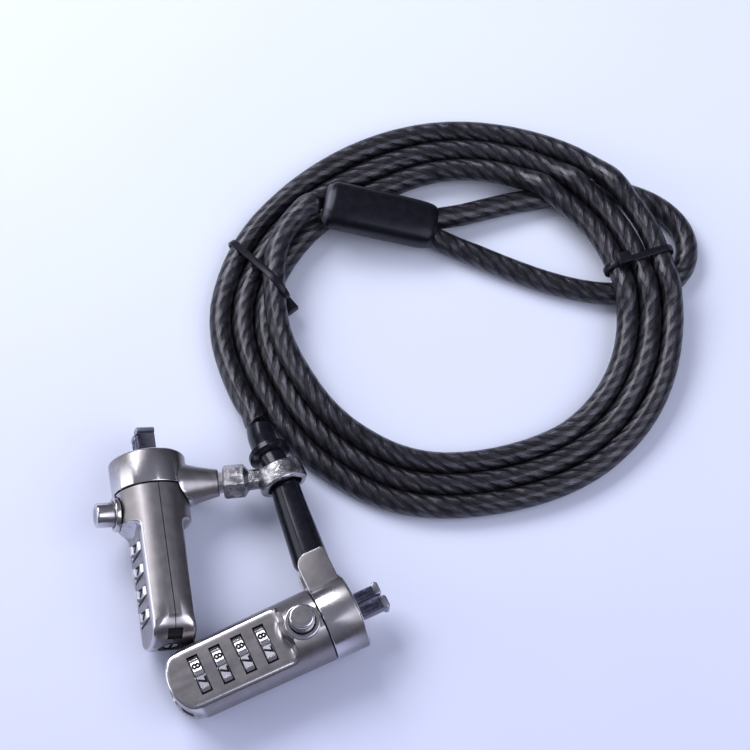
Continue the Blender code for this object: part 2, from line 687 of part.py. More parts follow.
# ---------------------------------------------------------------- cable side
def coil_at(place):
    """Middle, direction, half width, bottom and top of the bundle at a place on the ring (twelfths)."""
    count = len(COIL_RING)
    base = math.floor(place)
    t = place - base
    rows = [Vector(COIL_RING[(base + step) % count]) * MM for step in (-1, 0, 1, 2)]
    a, b, c, d = rows
    square = 2 * a - 5 * b + 4 * c - d
    cube = 3 * b - a - 3 * c + d
    value = 0.5 * ((2 * b) + (c - a) * t + square * t ** 2 + cube * t ** 3)
    slope = 0.5 * ((c - a) + 2 * square * t + 3 * cube * t ** 2)
    bottom = 0.05 * MM
    for crossing in LOOP_CROSSINGS:
        bottom = max(bottom, LIFT_HEIGHT * bump(place - crossing, LIFT_REACH / 2, LIFT_FADE))
    for tie in (TIE_LEFT_AT, TIE_RIGHT_AT):
        bottom = max(bottom, TIE_FLOOR * bump(place - tie, TIE_LIFT_REACH, TIE_LIFT_FADE))
    middle = (LOW_START + LOW_END) / 2
    low = bump(place - middle, (LOW_END - LOW_START) / 2, LOW_FADE)
    top = bottom + COIL_HEIGHT + (COIL_LOW_HEIGHT - COIL_HEIGHT) * low
    middle_point = Vector((value.x, value.y, 0.0))
    along = Vector((slope.x, slope.y, 0.0)).normalized()
    return middle_point, along, value.z / 2, bottom, top


def bump(offset, flat, fade):
    """1 within flat of zero, easing to 0 over fade; offsets wrap round the ring."""
    count = len(COIL_RING)
    offset = abs((offset + count / 2) % count - count / 2)
    if offset <= flat:
        return 1.0
    if offset >= flat + fade:
        return 0.0
    return 0.5 + 0.5 * math.cos(math.pi * (offset - flat) / fade)


def oval(half_width, half_height, angle):
    """Point on a flattened oval, fuller at the corners than an ellipse."""
    power = OVAL_POWER
    across = math.copysign(abs(math.cos(angle)) ** power, math.cos(angle))
    up = math.copysign(abs(math.sin(angle)) ** power, math.sin(angle))
    return half_width * across, half_height * up


def build_coil(group, finish):
    sections = []
    steps = 56
    for index in range(steps):
        middle, along, half, bottom, top = coil_at(12 * index / steps)
        outward = Vector((-along.y, along.x, 0))
        section = []
        for turn in range(12):
            u, v = oval(half, (top - bottom) / 2, 2 * math.pi * turn / 12)
            section.append(middle + outward * u + Vector((0, 0, (top + bottom) / 2 + v)))
        sections.append(section)
    coil = add_object("cable_coil", loft("coil", sections, closed=True), finish, group)
    round_shade(coil)


def build_tie(name, place, skew, head_side, group, finish):
    """Strap all the way round the bundle, with its square head on top near one edge."""
    middle, along, half, bottom, top = coil_at(place)
    outward = Vector((-along.y, along.x, 0))
    half += 0.3 * MM
    sections = []
    steps = 32
    for index in range(steps):
        angle = 2 * math.pi * index / steps
        ring = []
        for grow, shift in ((TIE_CLEARANCE, -1), (TIE_CLEARANCE, 1),
                            (TIE_CLEARANCE + TIE_THICK, 1), (TIE_CLEARANCE + TIE_THICK, -1)):
            u, v = oval(half + grow, (top - bottom) / 2 + grow, angle)
            slide = along * (skew * u + shift * TIE_WIDTH / 2)
            ring.append(middle + outward * u + slide + Vector((0, 0, (top + bottom) / 2 + v)))
        sections.append(ring)
    tie = add_object(name, loft(name, sections, closed=True), finish, group)
    u = head_side * half * TIE_HEAD_OUT
    seat = middle + outward * u + along * skew * u
    seat.z = top + TIE_CLEARANCE + 0.1 * MM
    length, width, height = TIE_HEAD
    block = box("tie_head", (-length / 2, -width / 2, -TIE_HEAD_SINK),
                (length / 2, width / 2, height - TIE_HEAD_SINK))
    head = cutter(f"add_{name}_head", block, group)
    head.matrix_local = Matrix.Translation(seat) @ Matrix.Rotation(math.atan2(outward.y, outward.x), 4, "Z")
    boolean(tie, head, "UNION")


def build_cord(name, points, group, finish):
    curve = bpy.data.curves.new(name, "CURVE")
    curve.dimensions = "3D"
    curve.bevel_depth = CABLE_RADIUS
    curve.bevel_resolution = 3
    curve.use_fill_caps = True
    spline = curve.splines.new("POLY")
    spline.points.add(len(points) - 1)
    for index, point in enumerate(points):
        spline.points[index].co = (*point, 1.0)
    return add_object(name, curve, finish, group)


def boot_mesh(start):
    """Tapering cover from its domed end near the clevis to the lead, with one flange past the eye."""
    route = smooth_route([start] + metres(BOOT_ROUTE), BOOT_STATIONS)
    radii = []
    for point in route:
        share = min((point - start).length / (route[BOOT_TAPER_STATION] - start).length, 1.0)
        radii.append(BOOT_EAR_RADIUS + (BOOT_RING_RADIUS - BOOT_EAR_RADIUS) * share)
    dome = [route[0].lerp(route[1], share) for share, size in BOOT_DOME]
    points = dome + route[1:]
    radii = [radii[0] * size for share, size in BOOT_DOME] + radii[1:]
    flange_at = metres(BOOT_ROUTE)[BOOT_FLANGE_AT]
    nearest = min(range(len(points)), key=lambda index: (points[index] - flange_at).length)
    along = (points[nearest + 1] - points[nearest - 1]).normalized()
    edge = BOOT_FLANGE_RADIUS - 0.4 * MM
    rim = [(-0.5, BOOT_RING_RADIUS), (-0.48, edge), (-0.3, BOOT_FLANGE_RADIUS),
           (0.3, BOOT_FLANGE_RADIUS), (0.48, edge), (0.5, BOOT_RING_RADIUS)]
    centre = points[nearest]
    points[nearest:nearest + 1] = [centre + along * share * BOOT_FLANGE_THICK for share, size in rim]
    radii[nearest:nearest + 1] = [size for share, size in rim]
    return swept("boot", points, radii, SMALL_SEGMENTS, FERRULE_RADIUS + GAP)


def build_cable_side(group, pin_at, heading_out):
    black = ((0.015, 0.015, 0.018), 0.0, 0.25)
    steel = ((0.5, 0.5, 0.52), 1.0, 0.35)
    jacket = ((0.12, 0.12, 0.16), 0.2, 0.25)
    pin = upright_rod("clevis_pin", CLEVIS_PIN_HALF, CLEVIS_PIN_RADIUS)
    clevis = add_object("clevis_pin", pin, steel, group)
    clevis.location = pin_at
    round_shade(clevis)

    start = pin_at + heading_out * BOOT_START
    boot = add_object("boot", boot_mesh(start), black, group)
    round_shade(boot)

    ferrule_route = smooth_route([pin_at, start] + metres(BOOT_ROUTE), 22)
    kept = [pin_at + heading_out * FERRULE_START]
    kept += [point for point in ferrule_route if FERRULE_START + MM < (point - pin_at).length < FERRULE_END]
    ferrule = add_object("ferrule", swept("ferrule", kept, [FERRULE_RADIUS] * len(kept), 16), steel, group)
    round_shade(ferrule)
    disc = upright_rod("tongue", TONGUE_HALF_THICK, TONGUE_RADIUS)
    eye = cutter("add_tongue_disc", disc, group)
    eye.location = pin_at
    boolean(ferrule, eye, "UNION")
    wide = TONGUE_NECK_SHARE * TONGUE_RADIUS
    thick = 0.98 * TONGUE_HALF_THICK
    neck = box("tongue_neck", (0.9 * TONGUE_RADIUS, -wide, -thick), (FERRULE_START + MM, wide, thick))
    link = cutter("add_tongue_neck", neck, group)
    turn = Matrix.Rotation(math.atan2(heading_out.y, heading_out.x), 4, "Z")
    link.matrix_local = Matrix.Translation(pin_at) @ turn
    boolean(ferrule, link, "UNION")
    eye_hole = upright_rod("tongue_hole", 2 * TONGUE_HALF_THICK, CLEVIS_PIN_RADIUS + GAP)
    hole = cutter("cut_tongue_hole", eye_hole, group)
    hole.location = pin_at
    boolean(ferrule, hole)

    build_coil(group, jacket)
    build_cord("cable_lead", smooth_route(metres(LEAD_ROUTE), LEAD_POINTS), group, jacket)
    build_cord("cable_loop", smooth_route(metres(LOOP_ROUTE), LOOP_POINTS), group, jacket)
    build_cord("cable_tail", smooth_route(metres(TAIL_ROUTE), TAIL_POINTS), group, jacket)
    build_tie("tie_left", TIE_LEFT_AT, TIE_LEFT_SKEW, -1, group, black)
    build_tie("tie_right", TIE_RIGHT_AT, 0.0, -1, group, black)

    sections = []
    for share, size in SLEEVE_SHAPE:
        centre = SLEEVE_LEFT.lerp(SLEEVE_RIGHT, share)
        along = (SLEEVE_RIGHT - SLEEVE_LEFT).normalized()
        side = along.cross(Vector((0, 0, 1))).normalized()
        up = side.cross(along)
        ring = []
        for index in range(28):
            u, v = oval(SLEEVE_HALF_WIDTH * size, SLEEVE_HALF_HEIGHT * size, 2 * math.pi * index / 28)
            ring.append(centre + side * u + up * v)
        sections.append(ring)
    sleeve = add_object("crimp_sleeve", loft("sleeve", sections), black, group)
    round_shade(sleeve)


def build_eye(group):
    steel = ((0.45, 0.45, 0.46), 1.0, 0.3)
    place = aim_x(EYE_CENTRE, ARM_TIP)
    hole = Matrix.Translation(EYE_CENTRE) @ Matrix.Rotation(math.radians(EYE_HEADING), 4, "Z")
    edge = EYE_EDGE
    half = EYE_LENGTH / 2
    ring = [(-half, EYE_INNER), (-half, EYE_OUTER - edge), (-half + edge, EYE_OUTER),
            (half - edge, EYE_OUTER), (half, EYE_OUTER - edge), (half, EYE_INNER)]
    eye = add_object("eye_fitting", turned_ring("eye", ring, 36), steel, group)
    eye.matrix_local = hole
    round_shade(eye)
    nut_end = NUT_START + NUT_LENGTH
    nut = turned("nut", [(EYE_OUTER - 0.8 * MM, NUT_NECK_RADIUS), (NUT_START - 0.9 * MM, NUT_NECK_RADIUS),
                         (NUT_START - 0.1 * MM, NUT_RADIUS), (nut_end - NUT_BEVEL, NUT_RADIUS),
                         (nut_end, NUT_RADIUS - NUT_BEVEL)], 6)
    block = cutter("add_nut", nut, group)
    block.matrix_local = place
    boolean(eye, block, "UNION")
    span = (ARM_TIP - EYE_CENTRE).length
    bore = turned("nut_bore", [(NUT_START, STUD_RADIUS + GAP),
                               (nut_end + MM, STUD_RADIUS + GAP)], SMALL_SEGMENTS)
    socket = cutter("cut_nut_bore", bore, group)
    socket.matrix_local = place
    boolean(eye, socket)
    stud_mesh = turned("stud", [(NUT_START + GAP, STUD_RADIUS),
                                (span + STUD_IN_ARM, STUD_RADIUS)], SMALL_SEGMENTS)
    stud = add_object("arm_stud", stud_mesh, steel, group)
    stud.matrix_local = place
    round_shade(stud)


def settle_on_origin(root):
    """Moves everything so that the box of the two heads stands centred on the origin."""
    bpy.context.view_layer.update()
    graph = bpy.context.evaluated_depsgraph_get()
    cable = ("cable_", "tie_", "boot", "ferrule", "crimp_", "clevis_pin")
    low, high = Vector((1, 1, 1)), Vector((-1, -1, -1))
    for item in bpy.data.objects:
        if item.type != "MESH" or item.hide_render or item.name.startswith(cable):
            continue
        shape = item.evaluated_get(graph)
        for corner in shape.data.vertices:
            point = item.matrix_world @ corner.co
            low = Vector(map(min, low, point))
            high = Vector(map(max, high, point))
    root.location = (-(low.x + high.x) / 2, -(low.y + high.y) / 2, -low.z)


def main():
    clear_scene()
    root = empty("lock_root", Matrix.Identity(4))
    frame_a, collar_a, place_a = build_head("a", LOCK_A_SEAM, LOCK_A_HEADING, 0.0, root)
    frame_b, collar_b, place_b = build_head("b", LOCK_B_SEAM, LOCK_B_HEADING, LOCK_B_ROLL, root)
    add_ears(collar_a, frame_a)
    add_arm(collar_b, frame_b, place_b)
    pin_at = place_a @ Vector((CLEVIS_X, CLEVIS_Y, 0))
    heading_out = (metres(BOOT_ROUTE)[0] - pin_at).normalized()
    build_cable_side(root, pin_at, heading_out)
    build_eye(root)
    settle_on_origin(root)


main()
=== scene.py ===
import json
import math

import bmesh
import bpy
import numpy as np
from mathutils import Matrix, Vector


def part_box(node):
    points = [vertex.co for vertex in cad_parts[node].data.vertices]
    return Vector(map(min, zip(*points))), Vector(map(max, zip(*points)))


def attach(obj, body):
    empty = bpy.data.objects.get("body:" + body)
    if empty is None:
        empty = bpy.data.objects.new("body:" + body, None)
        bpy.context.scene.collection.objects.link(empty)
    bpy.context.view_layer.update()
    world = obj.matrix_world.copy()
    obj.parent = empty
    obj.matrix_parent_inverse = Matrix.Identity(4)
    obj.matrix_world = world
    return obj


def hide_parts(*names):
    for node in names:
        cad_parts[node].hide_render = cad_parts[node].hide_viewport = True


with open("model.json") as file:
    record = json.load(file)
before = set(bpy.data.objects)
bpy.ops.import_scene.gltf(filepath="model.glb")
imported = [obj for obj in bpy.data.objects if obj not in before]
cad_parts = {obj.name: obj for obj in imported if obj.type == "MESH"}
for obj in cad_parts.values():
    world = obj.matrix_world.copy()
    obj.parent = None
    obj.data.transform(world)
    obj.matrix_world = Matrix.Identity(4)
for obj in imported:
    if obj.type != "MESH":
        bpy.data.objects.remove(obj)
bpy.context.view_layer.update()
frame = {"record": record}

MM = 0.001
GAP = 0.3 * MM  # clearance between neighbours that turn or slide
HERE = Matrix.Identity(4)
joints = {joint["name"]: joint for joint in frame["record"]["behaviour"]["joints"]}


# ---------------------------------------------------------------- places
def middle_of(node):
    low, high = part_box(node)
    return (low + high) / 2


# the cable's route is given in millimetres from the middle of the floor, where the boot's pin stands here
PIN_IN_WORK = Vector((-13.752, -53.344, 9.0)) * MM
SHIFT = middle_of("clevis_pin") - PIN_IN_WORK


def work(x, y, z):
    return SHIFT + Vector((x, y, z)) * MM


def placed(x_axis, y_axis, z_axis, origin):
    turn = Matrix((x_axis, y_axis, z_axis)).transposed().to_4x4()
    return Matrix.Translation(origin) @ turn


def head_frame(tag):
    """Place of a lock head: X along its axis to the collar, Z out of its dial plate."""
    along = Vector(joints["swivel_" + tag]["axis"]).normalized()
    up = Vector(joints["press_" + tag]["axis"]).normalized()
    side = up.cross(along).normalized()
    return placed(along, side, up, Vector(joints["swivel_" + tag]["pos_m"]))


def aim(start, end):
    """Place at the start with X towards the end."""
    along = (end - start).normalized()
    side = Vector((0, 0, 1)).cross(along).normalized()
    return placed(along, side, along.cross(side), start)


# ---------------------------------------------------------------- camera
VIEW_TILT = 67.5
VIEW_DISTANCE = 0.519
VIEW_ANGLE = 20.0
camera_data = bpy.data.cameras.new("camera")
camera_data.sensor_width = 36.0
camera_data.lens = camera_data.sensor_width / 2 / math.tan(math.radians(VIEW_ANGLE / 2))
camera = bpy.data.objects.new("camera", camera_data)
tilt = math.radians(VIEW_TILT)
camera.location = work(0, 0, 0) + Vector((0, -math.cos(tilt), math.sin(tilt))) * VIEW_DISTANCE
camera.rotation_euler = (math.pi / 2 - tilt, 0, 0)
camera_data.clip_start = 0.01
camera_data.clip_end = 20.0
bpy.context.scene.collection.objects.link(camera)
bpy.context.scene.camera = camera


# ---------------------------------------------------------------- shader helpers
class Value:
    """One number socket in a node graph; sums and products make Math nodes."""

    def __init__(self, graph, socket):
        self.graph = graph
        self.socket = socket

    def math(self, operation, *others):
        return self.graph.math(operation, self, *others)

    def __add__(self, other):
        return self.math("ADD", other)

    __radd__ = __add__

    def __mul__(self, other):
        return self.math("MULTIPLY", other)

    __rmul__ = __mul__

    def __sub__(self, other):
        return self.math("SUBTRACT", other)

    def __rsub__(self, other):
        return self.graph.math("SUBTRACT", other, self)

    def __truediv__(self, other):
        return self.math("DIVIDE", other)

    def sin(self):
        return self.math("SINE")

    def size(self):
        return self.math("ABSOLUTE")

    def step(self, low, high):
        return self.graph.node("ShaderNodeMapRange", {"interpolation_type": "SMOOTHSTEP"},
                               {"Value": self, "From Min": low, "From Max": high})["Result"]


class Graph:
    """A material's node tree, written as expressions."""

    def __init__(self, name):
        self.material = bpy.data.materials.new(name)
        self.material.use_nodes = True
        self.tree = self.material.node_tree
        self.shader = self.tree.nodes["Principled BSDF"]

    def plug(self, socket, value):
        if isinstance(value, Value):
            self.tree.links.new(value.socket, socket)
        elif isinstance(value, (tuple, list)) and len(value) == 3 and socket.type == "RGBA":
            socket.default_value = (*value, 1.0)
        else:
            socket.default_value = value

    def node(self, kind, settings, sockets):
        """Makes a node; its outputs come back by name."""
        made = self.tree.nodes.new(kind)
        for key, value in settings.items():
            setattr(made, key, value)
        for key, value in sockets.items():
            if isinstance(key, int):
                self.plug(made.inputs[key], value)
            else:
                match = [socket for socket in made.inputs if socket.name == key and socket.enabled]
                self.plug(match[0], value)
        return {socket.name: Value(self, socket) for socket in made.outputs if socket.enabled}

    def math(self, operation, *values):
        return self.node("ShaderNodeMath", {"operation": operation}, dict(enumerate(values)))["Value"]

    def mix(self, share, first, second):
        """Colour between two, by a share from 0 to 1."""
        sockets = {"Factor": share, "A": first, "B": second}
        return self.node("ShaderNodeMix", {"data_type": "RGBA"}, sockets)["Result"]

    def blend(self, share, first, second):
        """Number between two, by a share from 0 to 1."""
        return first + (second - first) * share

    def coords(self, scale=(1000.0, 1000.0, 1000.0)):
        """The piece's own coordinates, in millimetres unless stretched."""
        place = self.node("ShaderNodeAttribute", {"attribute_name": "own"}, {})["Vector"]
        return self.node("ShaderNodeVectorMath", {"operation": "MULTIPLY"}, {0: place, 1: scale})["Vector"]

    def noise(self, where, scale, detail=2.0, roughness=0.5):
        sockets = {"Vector": where, "Scale": scale, "Detail": detail, "Roughness": roughness}
        return self.node("ShaderNodeTexNoise", {}, sockets)["Fac"]

    def polish(self):
        """How bright a point is painted, from 0 to 1, for polish and painted highlight, as set on its piece.
        """
        return self.node("ShaderNodeAttribute", {"attribute_name": "polish"}, {})["Fac"]

    def parts(self, vector):
        made = self.node("ShaderNodeSeparateXYZ", {}, {"Vector": vector})
        return made["X"], made["Y"], made["Z"]

    def bump(self, height, strength, distance):
        sockets = {"Height": height, "Strength": strength, "Distance": distance}
        return self.node("ShaderNodeBump", {}, sockets)["Normal"]

    def surface(self, **sockets):
        for key, value in sockets.items():
            self.plug(self.shader.inputs[key.replace("_", " ")], value)
        return self.material


def shade(colour, strength, lift=0.0):
    return tuple(min(c * strength + lift, 1.0) for c in colour)


# ---------------------------------------------------------------- finishes
ALONG_STREAKS = (60.0, 900.0, 900.0)


def steel_material(name, colour=(0.295, 0.275, 0.285), rough=0.34, polish_rough=0.13, grain=1.0):
    """Satin metal: fine streaks along the piece, soft clouding, edges painted bright as polish and painted
    highlight, and a little wear.
    """
    g = Graph(name)
    where = g.coords()
    streaks = g.noise(g.coords(ALONG_STREAKS), 1.0, 3.0, 0.6)
    cloud = g.noise(where, 0.35, 3.0, 0.6)
    specks = g.noise(where, 5.5, 2.0, 0.7).step(0.66, 0.8)
    polish = g.polish()
    tone = g.mix(cloud.step(0.3, 0.75), shade(colour, 0.9), shade(colour, 1.08))
    tone = g.mix(specks * 0.18, tone, shade(colour, 0.55))
    # polish and painted highlight: points painted bright on their piece are mixed towards pale grey
    tone = g.mix(polish * 0.7, tone, (0.72, 0.71, 0.74))
    satin = rough + (streaks - 0.5) * 0.16 * grain + (cloud - 0.5) * 0.08
    height = streaks * 0.5 * grain + g.noise(where, 3.0, 4.0, 0.65) * 0.5
    return g.surface(Base_Color=tone, Metallic=1.0, Roughness=g.blend(polish, satin, polish_rough),
                     Normal=g.bump(height, 0.10, 0.00006))


def dark_steel_material(name):
    """Blued spring steel: near black with blue-violet sheen, and edges painted bright as wear and painted
    highlight.
    """
    g = Graph(name)
    where = g.coords()
    cloud = g.noise(where, 0.9, 4.0, 0.6)
    fine = g.noise(where, 7.0, 3.0, 0.7)
    tone = g.mix(cloud.step(0.35, 0.7), (0.045, 0.045, 0.075), (0.12, 0.115, 0.17))
    # wear and painted highlight: points painted bright, such as the hooks' head edges, are mixed towards grey
    tone = g.mix(g.polish() * 0.75, tone, (0.42, 0.42, 0.48))
    return g.surface(Base_Color=tone, Metallic=1.0, Roughness=0.24 + fine * 0.16,
                     Normal=g.bump(fine, 0.12, 0.00008))


def chrome_material(name):
    """Cast fitting with a bright skin: slightly wavy, with painted shade in the hollows of the waves."""
    g = Graph(name)
    where = g.coords()
    wave_and_shade = g.noise(where, 0.55, 3.0, 0.6)
    pits = g.noise(where, 3.2, 3.0, 0.7)
    # painted shade and highlight: the tone is darker in the hollows of the waves and brighter on their crests
    tone = g.mix(wave_and_shade.step(0.34, 0.62), (0.17, 0.165, 0.18), (0.5, 0.49, 0.51))
    return g.surface(Base_Color=tone, Metallic=1.0, Roughness=0.12 + pits * 0.2,
                     Normal=g.bump(wave_and_shade * 0.7 + pits * 0.3, 0.5, 0.0004))


def black_material(name, colour, rough, coat):
    """Moulded black plastic or rubber: faint flow marks, a soft shine and fine grain."""
    g = Graph(name)
    where = g.coords()
    cloud = g.noise(where, 0.5, 3.0, 0.6)
    grain = g.noise(where, 9.0, 2.0, 0.6)
    tone = g.mix(cloud.step(0.3, 0.75), colour, shade(colour, 1.7, 0.003))
    # painted highlight: points painted bright, such as the sleeve's mouth rim, are mixed towards dark grey
    tone = g.mix(g.polish() * 0.8, tone, (0.09, 0.09, 0.11))
    return g.surface(Base_Color=tone, Roughness=rough + (cloud - 0.5) * 0.12, Coat_Weight=coat,
                     Coat_Roughness=0.15, Specular_IOR_Level=0.25, Specular_Tint=(0.75, 0.78, 1.0),
                     Normal=g.bump(grain, 0.08, 0.00005))


STRANDS = 6.0
STRAND_LAY = 4.2
WIRES = 42.0
WIRE_LAY = 0.6


def cable_material(name):
    """Steel rope in a smoky clear jacket: u is the length along the cable, v goes once round it."""
    g = Graph(name)
    along, around = g.parts(g.node("ShaderNodeUVMap", {"uv_map": "cable"}, {})["UV"])[:2]
    where = g.coords()
    drift = g.noise(where, 0.22, 2.0, 0.5)
    lay = (around * STRANDS - along / STRAND_LAY + drift * 0.9) * math.tau
    strand = (lay * 0.5).sin().size()
    wires = ((around * WIRES - along / WIRE_LAY + drift * 3.0) * math.tau).sin() * 0.5 + 0.5
    ridge = strand.step(0.18, 0.95)
    cloud = g.noise(where, 0.16, 3.0, 0.6)
    glint = g.noise(g.coords((420.0, 420.0, 420.0)), 1.0, 3.0, 0.7)
    # painted highlight on the strand ridges and along the wires, painted shade in the grooves between
    # strands, painted glints and random clouding
    shine = ridge * (0.55 + wires * 0.35) + (glint - 0.5) * 0.9 + (cloud - 0.5) * 0.8
    tone = g.mix(shine.step(0.2, 1.0), (0.002, 0.002, 0.005), (0.088, 0.084, 0.10))
    height = ridge * 0.85 + wires * 0.15
    return g.surface(Base_Color=tone, Metallic=g.blend(ridge, 0.25, 0.85), Coat_Weight=0.4,
                     Coat_Roughness=0.14, Coat_IOR=1.45, Coat_Tint=(0.80, 0.80, 0.92),
                     Roughness=0.30 + (1.0 - ridge) * 0.2, Normal=g.bump(height, 0.7, 0.00035))


def ink_material(name):
    """Black filling of the figures, greyed where it is worn."""
    g = Graph(name)
    worn = g.noise(g.coords(), 6.0, 3.0, 0.7)
    tone = g.mix(worn.step(0.5, 0.9), (0.008, 0.008, 0.010), (0.05, 0.05, 0.055))
    return g.surface(Base_Color=tone, Roughness=0.5 + worn * 0.2, Specular_IOR_Level=0.15)


def floor_material(name):
    """Pale floor with painted light: a little brighter towards its far side."""
    g = Graph(name)
    where = g.coords()
    cloud = g.noise(where, 0.012, 2.0, 0.5)
    # painted light: the tone grows brighter towards the far side, with a little random clouding
    share = (g.parts(where)[1] * 0.0026 + 0.5 + (cloud - 0.5) * 0.25).step(0.0, 1.0)
    tone = g.mix(share, (0.68, 0.71, 0.94), (0.84, 0.89, 0.98))
    return g.surface(Base_Color=tone, Roughness=0.55 + (cloud - 0.5) * 0.1, Specular_IOR_Level=0.3,
                     Normal=g.bump(g.noise(where, 0.4, 3.0, 0.6), 0.02, 0.0002))


STEEL = steel_material("satin_steel")
STEEL_DIAL = steel_material("dial_steel", (0.50, 0.49, 0.51), 0.30, 0.14, 0.6)
DARK_STEEL = dark_steel_material("blued_steel")
CHROME = chrome_material("cast_chrome")
PIN_STEEL = steel_material("pin_steel", (0.5, 0.49, 0.5), 0.3)
RUBBER = black_material("boot_rubber", (0.003, 0.003, 0.006), 0.26, 0.3)
SLEEVE_BLACK = black_material("sleeve_black", (0.002, 0.002, 0.004), 0.36, 0.1)
NYLON = black_material("tie_nylon", (0.003, 0.003, 0.005), 0.38, 0.1)
INSERT_BLACK = black_material("insert_black", (0.006, 0.006, 0.007), 0.5, 0.1)
CABLE = cable_material("jacketed_rope")
INK = ink_material("digit_ink")
FLOOR = floor_material("pale_floor")


# ---------------------------------------------------------------- mesh helpers
def keep_mesh(name, builder):
    mesh = bpy.data.meshes.new(name)
    builder.to_mesh(mesh)
    builder.free()
    return mesh


def loft(name, sections, closed=False):
    """Skin through rings of equally many points, with end faces unless the last ring joins the first."""
    count = len(sections[0])
    rows = len(sections) if closed else len(sections) - 1
    faces = []
    for row in range(rows):
        here = row * count
        after = ((row + 1) % len(sections)) * count
        for index in range(count):
            step = (index + 1) % count
            faces.append((here + index, here + step, after + step, after + index))
    if not closed:
        faces.append(tuple(range(count)))
        faces.append(tuple(range(rows * count, (rows + 1) * count)))
    builder = bmesh.new()
    corners = [builder.verts.new(point) for section in sections for point in section]
    for face in faces:
        builder.faces.new([corners[index] for index in face])
    bmesh.ops.recalc_face_normals(builder, faces=builder.faces)
    return keep_mesh(name, builder)


def turned(name, profile, segments=64, closed=False):
    """Solid of revolution about X from (x, radius) pairs, or a ring where the profile is closed."""
    ways = [math.tau * index / segments for index in range(segments)]
    if closed:
        sections = [[(x, r * math.cos(a), r * math.sin(a)) for x, r in profile] for a in ways]
    else:
        sections = [[(x, r * math.cos(a), r * math.sin(a)) for a in ways] for x, r in profile]
    return loft(name, sections, closed)


def rod(start, end, radius, segments=48):
    return turned("rod", [(start, radius), (end, radius)], segments)


def upright(mesh):
    mesh.transform(Matrix.Rotation(math.radians(-90), 4, "Y"))
    return mesh


def arc(centre, radius, start, end, steps=5):
    """Points on a circle between two angles in degrees."""
    row = []
    for index in range(steps + 1):
        a = math.radians(start + (end - start) * index / steps)
        row.append((centre[0] + radius * math.cos(a), centre[1] + radius * math.sin(a)))
    return row


def oblong(start, end, half):
    return [(start, -half), (end, -half), (end, half), (start, half)]


def inset_outline(outline, inset):
    """The outline moved inwards all round, its corners kept."""
    if inset == 0.0:
        return list(outline)
    following = outline[1:] + outline[:1]
    area = sum(a[0] * b[1] - b[0] * a[1] for a, b in zip(outline, following))
    sign = 1.0 if area > 0 else -1.0
    row = []
    for index, point in enumerate(outline):
        here = Vector(point)
        before = (here - Vector(outline[index - 1])).normalized()
        after = (Vector(following[index]) - here).normalized()
        normal = Vector((-(before.y + after.y), before.x + after.x))
        size = normal.length
        normal = normal / size if size > 1e-6 else Vector((0, 0))
        stretch = 1.0 / max(0.5, math.sqrt(max(0.0, (1 + before.dot(after)) / 2)))
        row.append(tuple(here + normal * sign * inset * stretch))
    return row


def slab(name, outline, low, high, round_by=0.0, steps=3):
    """Plan outline carried along Z, its upper and lower edges rounded over by round_by."""
    bottom = [(low, 0.0)]
    if round_by:
        turns = [math.pi / 2 * index / steps for index in range(steps + 1)]
        bottom = [(low + round_by * (1 - math.cos(a)), round_by * (1 - math.sin(a))) for a in turns]
    top = [(high - (level - low), inset) for level, inset in reversed(bottom)]
    sections = []
    for level, inset in bottom + top:
        sections.append([(x, y, level) for x, y in inset_outline(outline, inset)])
    return loft(name, sections)


def add(name, mesh, finish, place=None):
    item = bpy.data.objects.new(name, mesh)
    bpy.context.scene.collection.objects.link(item)
    if place is not None:
        item.matrix_world = place
    mesh.materials.clear()
    mesh.materials.append(finish)
    return item


def cut(mesh, place=HERE):
    return mesh, "DIFFERENCE", place


def join(mesh, place=HERE):
    return mesh, "UNION", place


def combine(item, *tools):
    """Cuts or joins the tools into the item and keeps the result as its mesh."""
    made = []
    for mesh, operation, place in tools:
        tool = bpy.data.objects.new("tool", mesh)
        bpy.context.scene.collection.objects.link(tool)
        tool.matrix_world = item.matrix_world @ place
        step = item.modifiers.new("step", "BOOLEAN")
        step.operation = operation
        step.solver = "EXACT"
        step.object = tool
        made.append(tool)
    bpy.context.view_layer.update()
    graph = bpy.context.evaluated_depsgraph_get()
    mesh = bpy.data.meshes.new_from_object(item.evaluated_get(graph))
    item.modifiers.clear()
    item.data = mesh
    for tool in made:
        bpy.data.objects.remove(tool, do_unlink=True)


def paint(item, rule=None):
    """Gives every point a value of polish and painted highlight from a rule on its own coordinates, or none
    at all.
    """
    layer = item.data.attributes.new("polish", "FLOAT", "POINT")
    values = [float(rule(vertex.co)) if rule else 0.0 for vertex in item.data.vertices]
    layer.data.foreach_set("value", values)


def smooth(item, angle, bevel=0.0, bevel_angle=50.0, segments=2):
    """Smooth shading, sharp where faces meet at more than the angle; edges may be eased over."""
    item.data.shade_smooth()
    builder = bmesh.new()
    builder.from_mesh(item.data)
    bmesh.ops.remove_doubles(builder, verts=builder.verts, dist=2e-6)
    for edge in builder.edges:
        sharp = len(edge.link_faces) == 2 and edge.calc_face_angle(0.0) > math.radians(angle)
        edge.smooth = not sharp
    builder.to_mesh(item.data)
    builder.free()
    if bevel:
        step = item.modifiers.new("ease", "BEVEL")
        step.width = bevel
        step.segments = segments
        step.limit_method = "ANGLE"
        step.angle_limit = math.radians(bevel_angle)
        step.harden_normals = True
        step.use_clamp_overlap = True


def settle_coordinates(item):
    """Stores the piece's own coordinates for its finish, then keeps its points in room coordinates."""
    mesh = item.data
    layer = mesh.attributes.new("own", "FLOAT_VECTOR", "POINT")
    layer.data.foreach_set("vector", [value for vertex in mesh.vertices for value in vertex.co])
    mesh.transform(item.matrix_world)
    item.matrix_world = HERE


def finish_piece(item, body, slot, *nodes):
    settle_coordinates(item)
    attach(item, body)
    if nodes:
        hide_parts(*nodes)


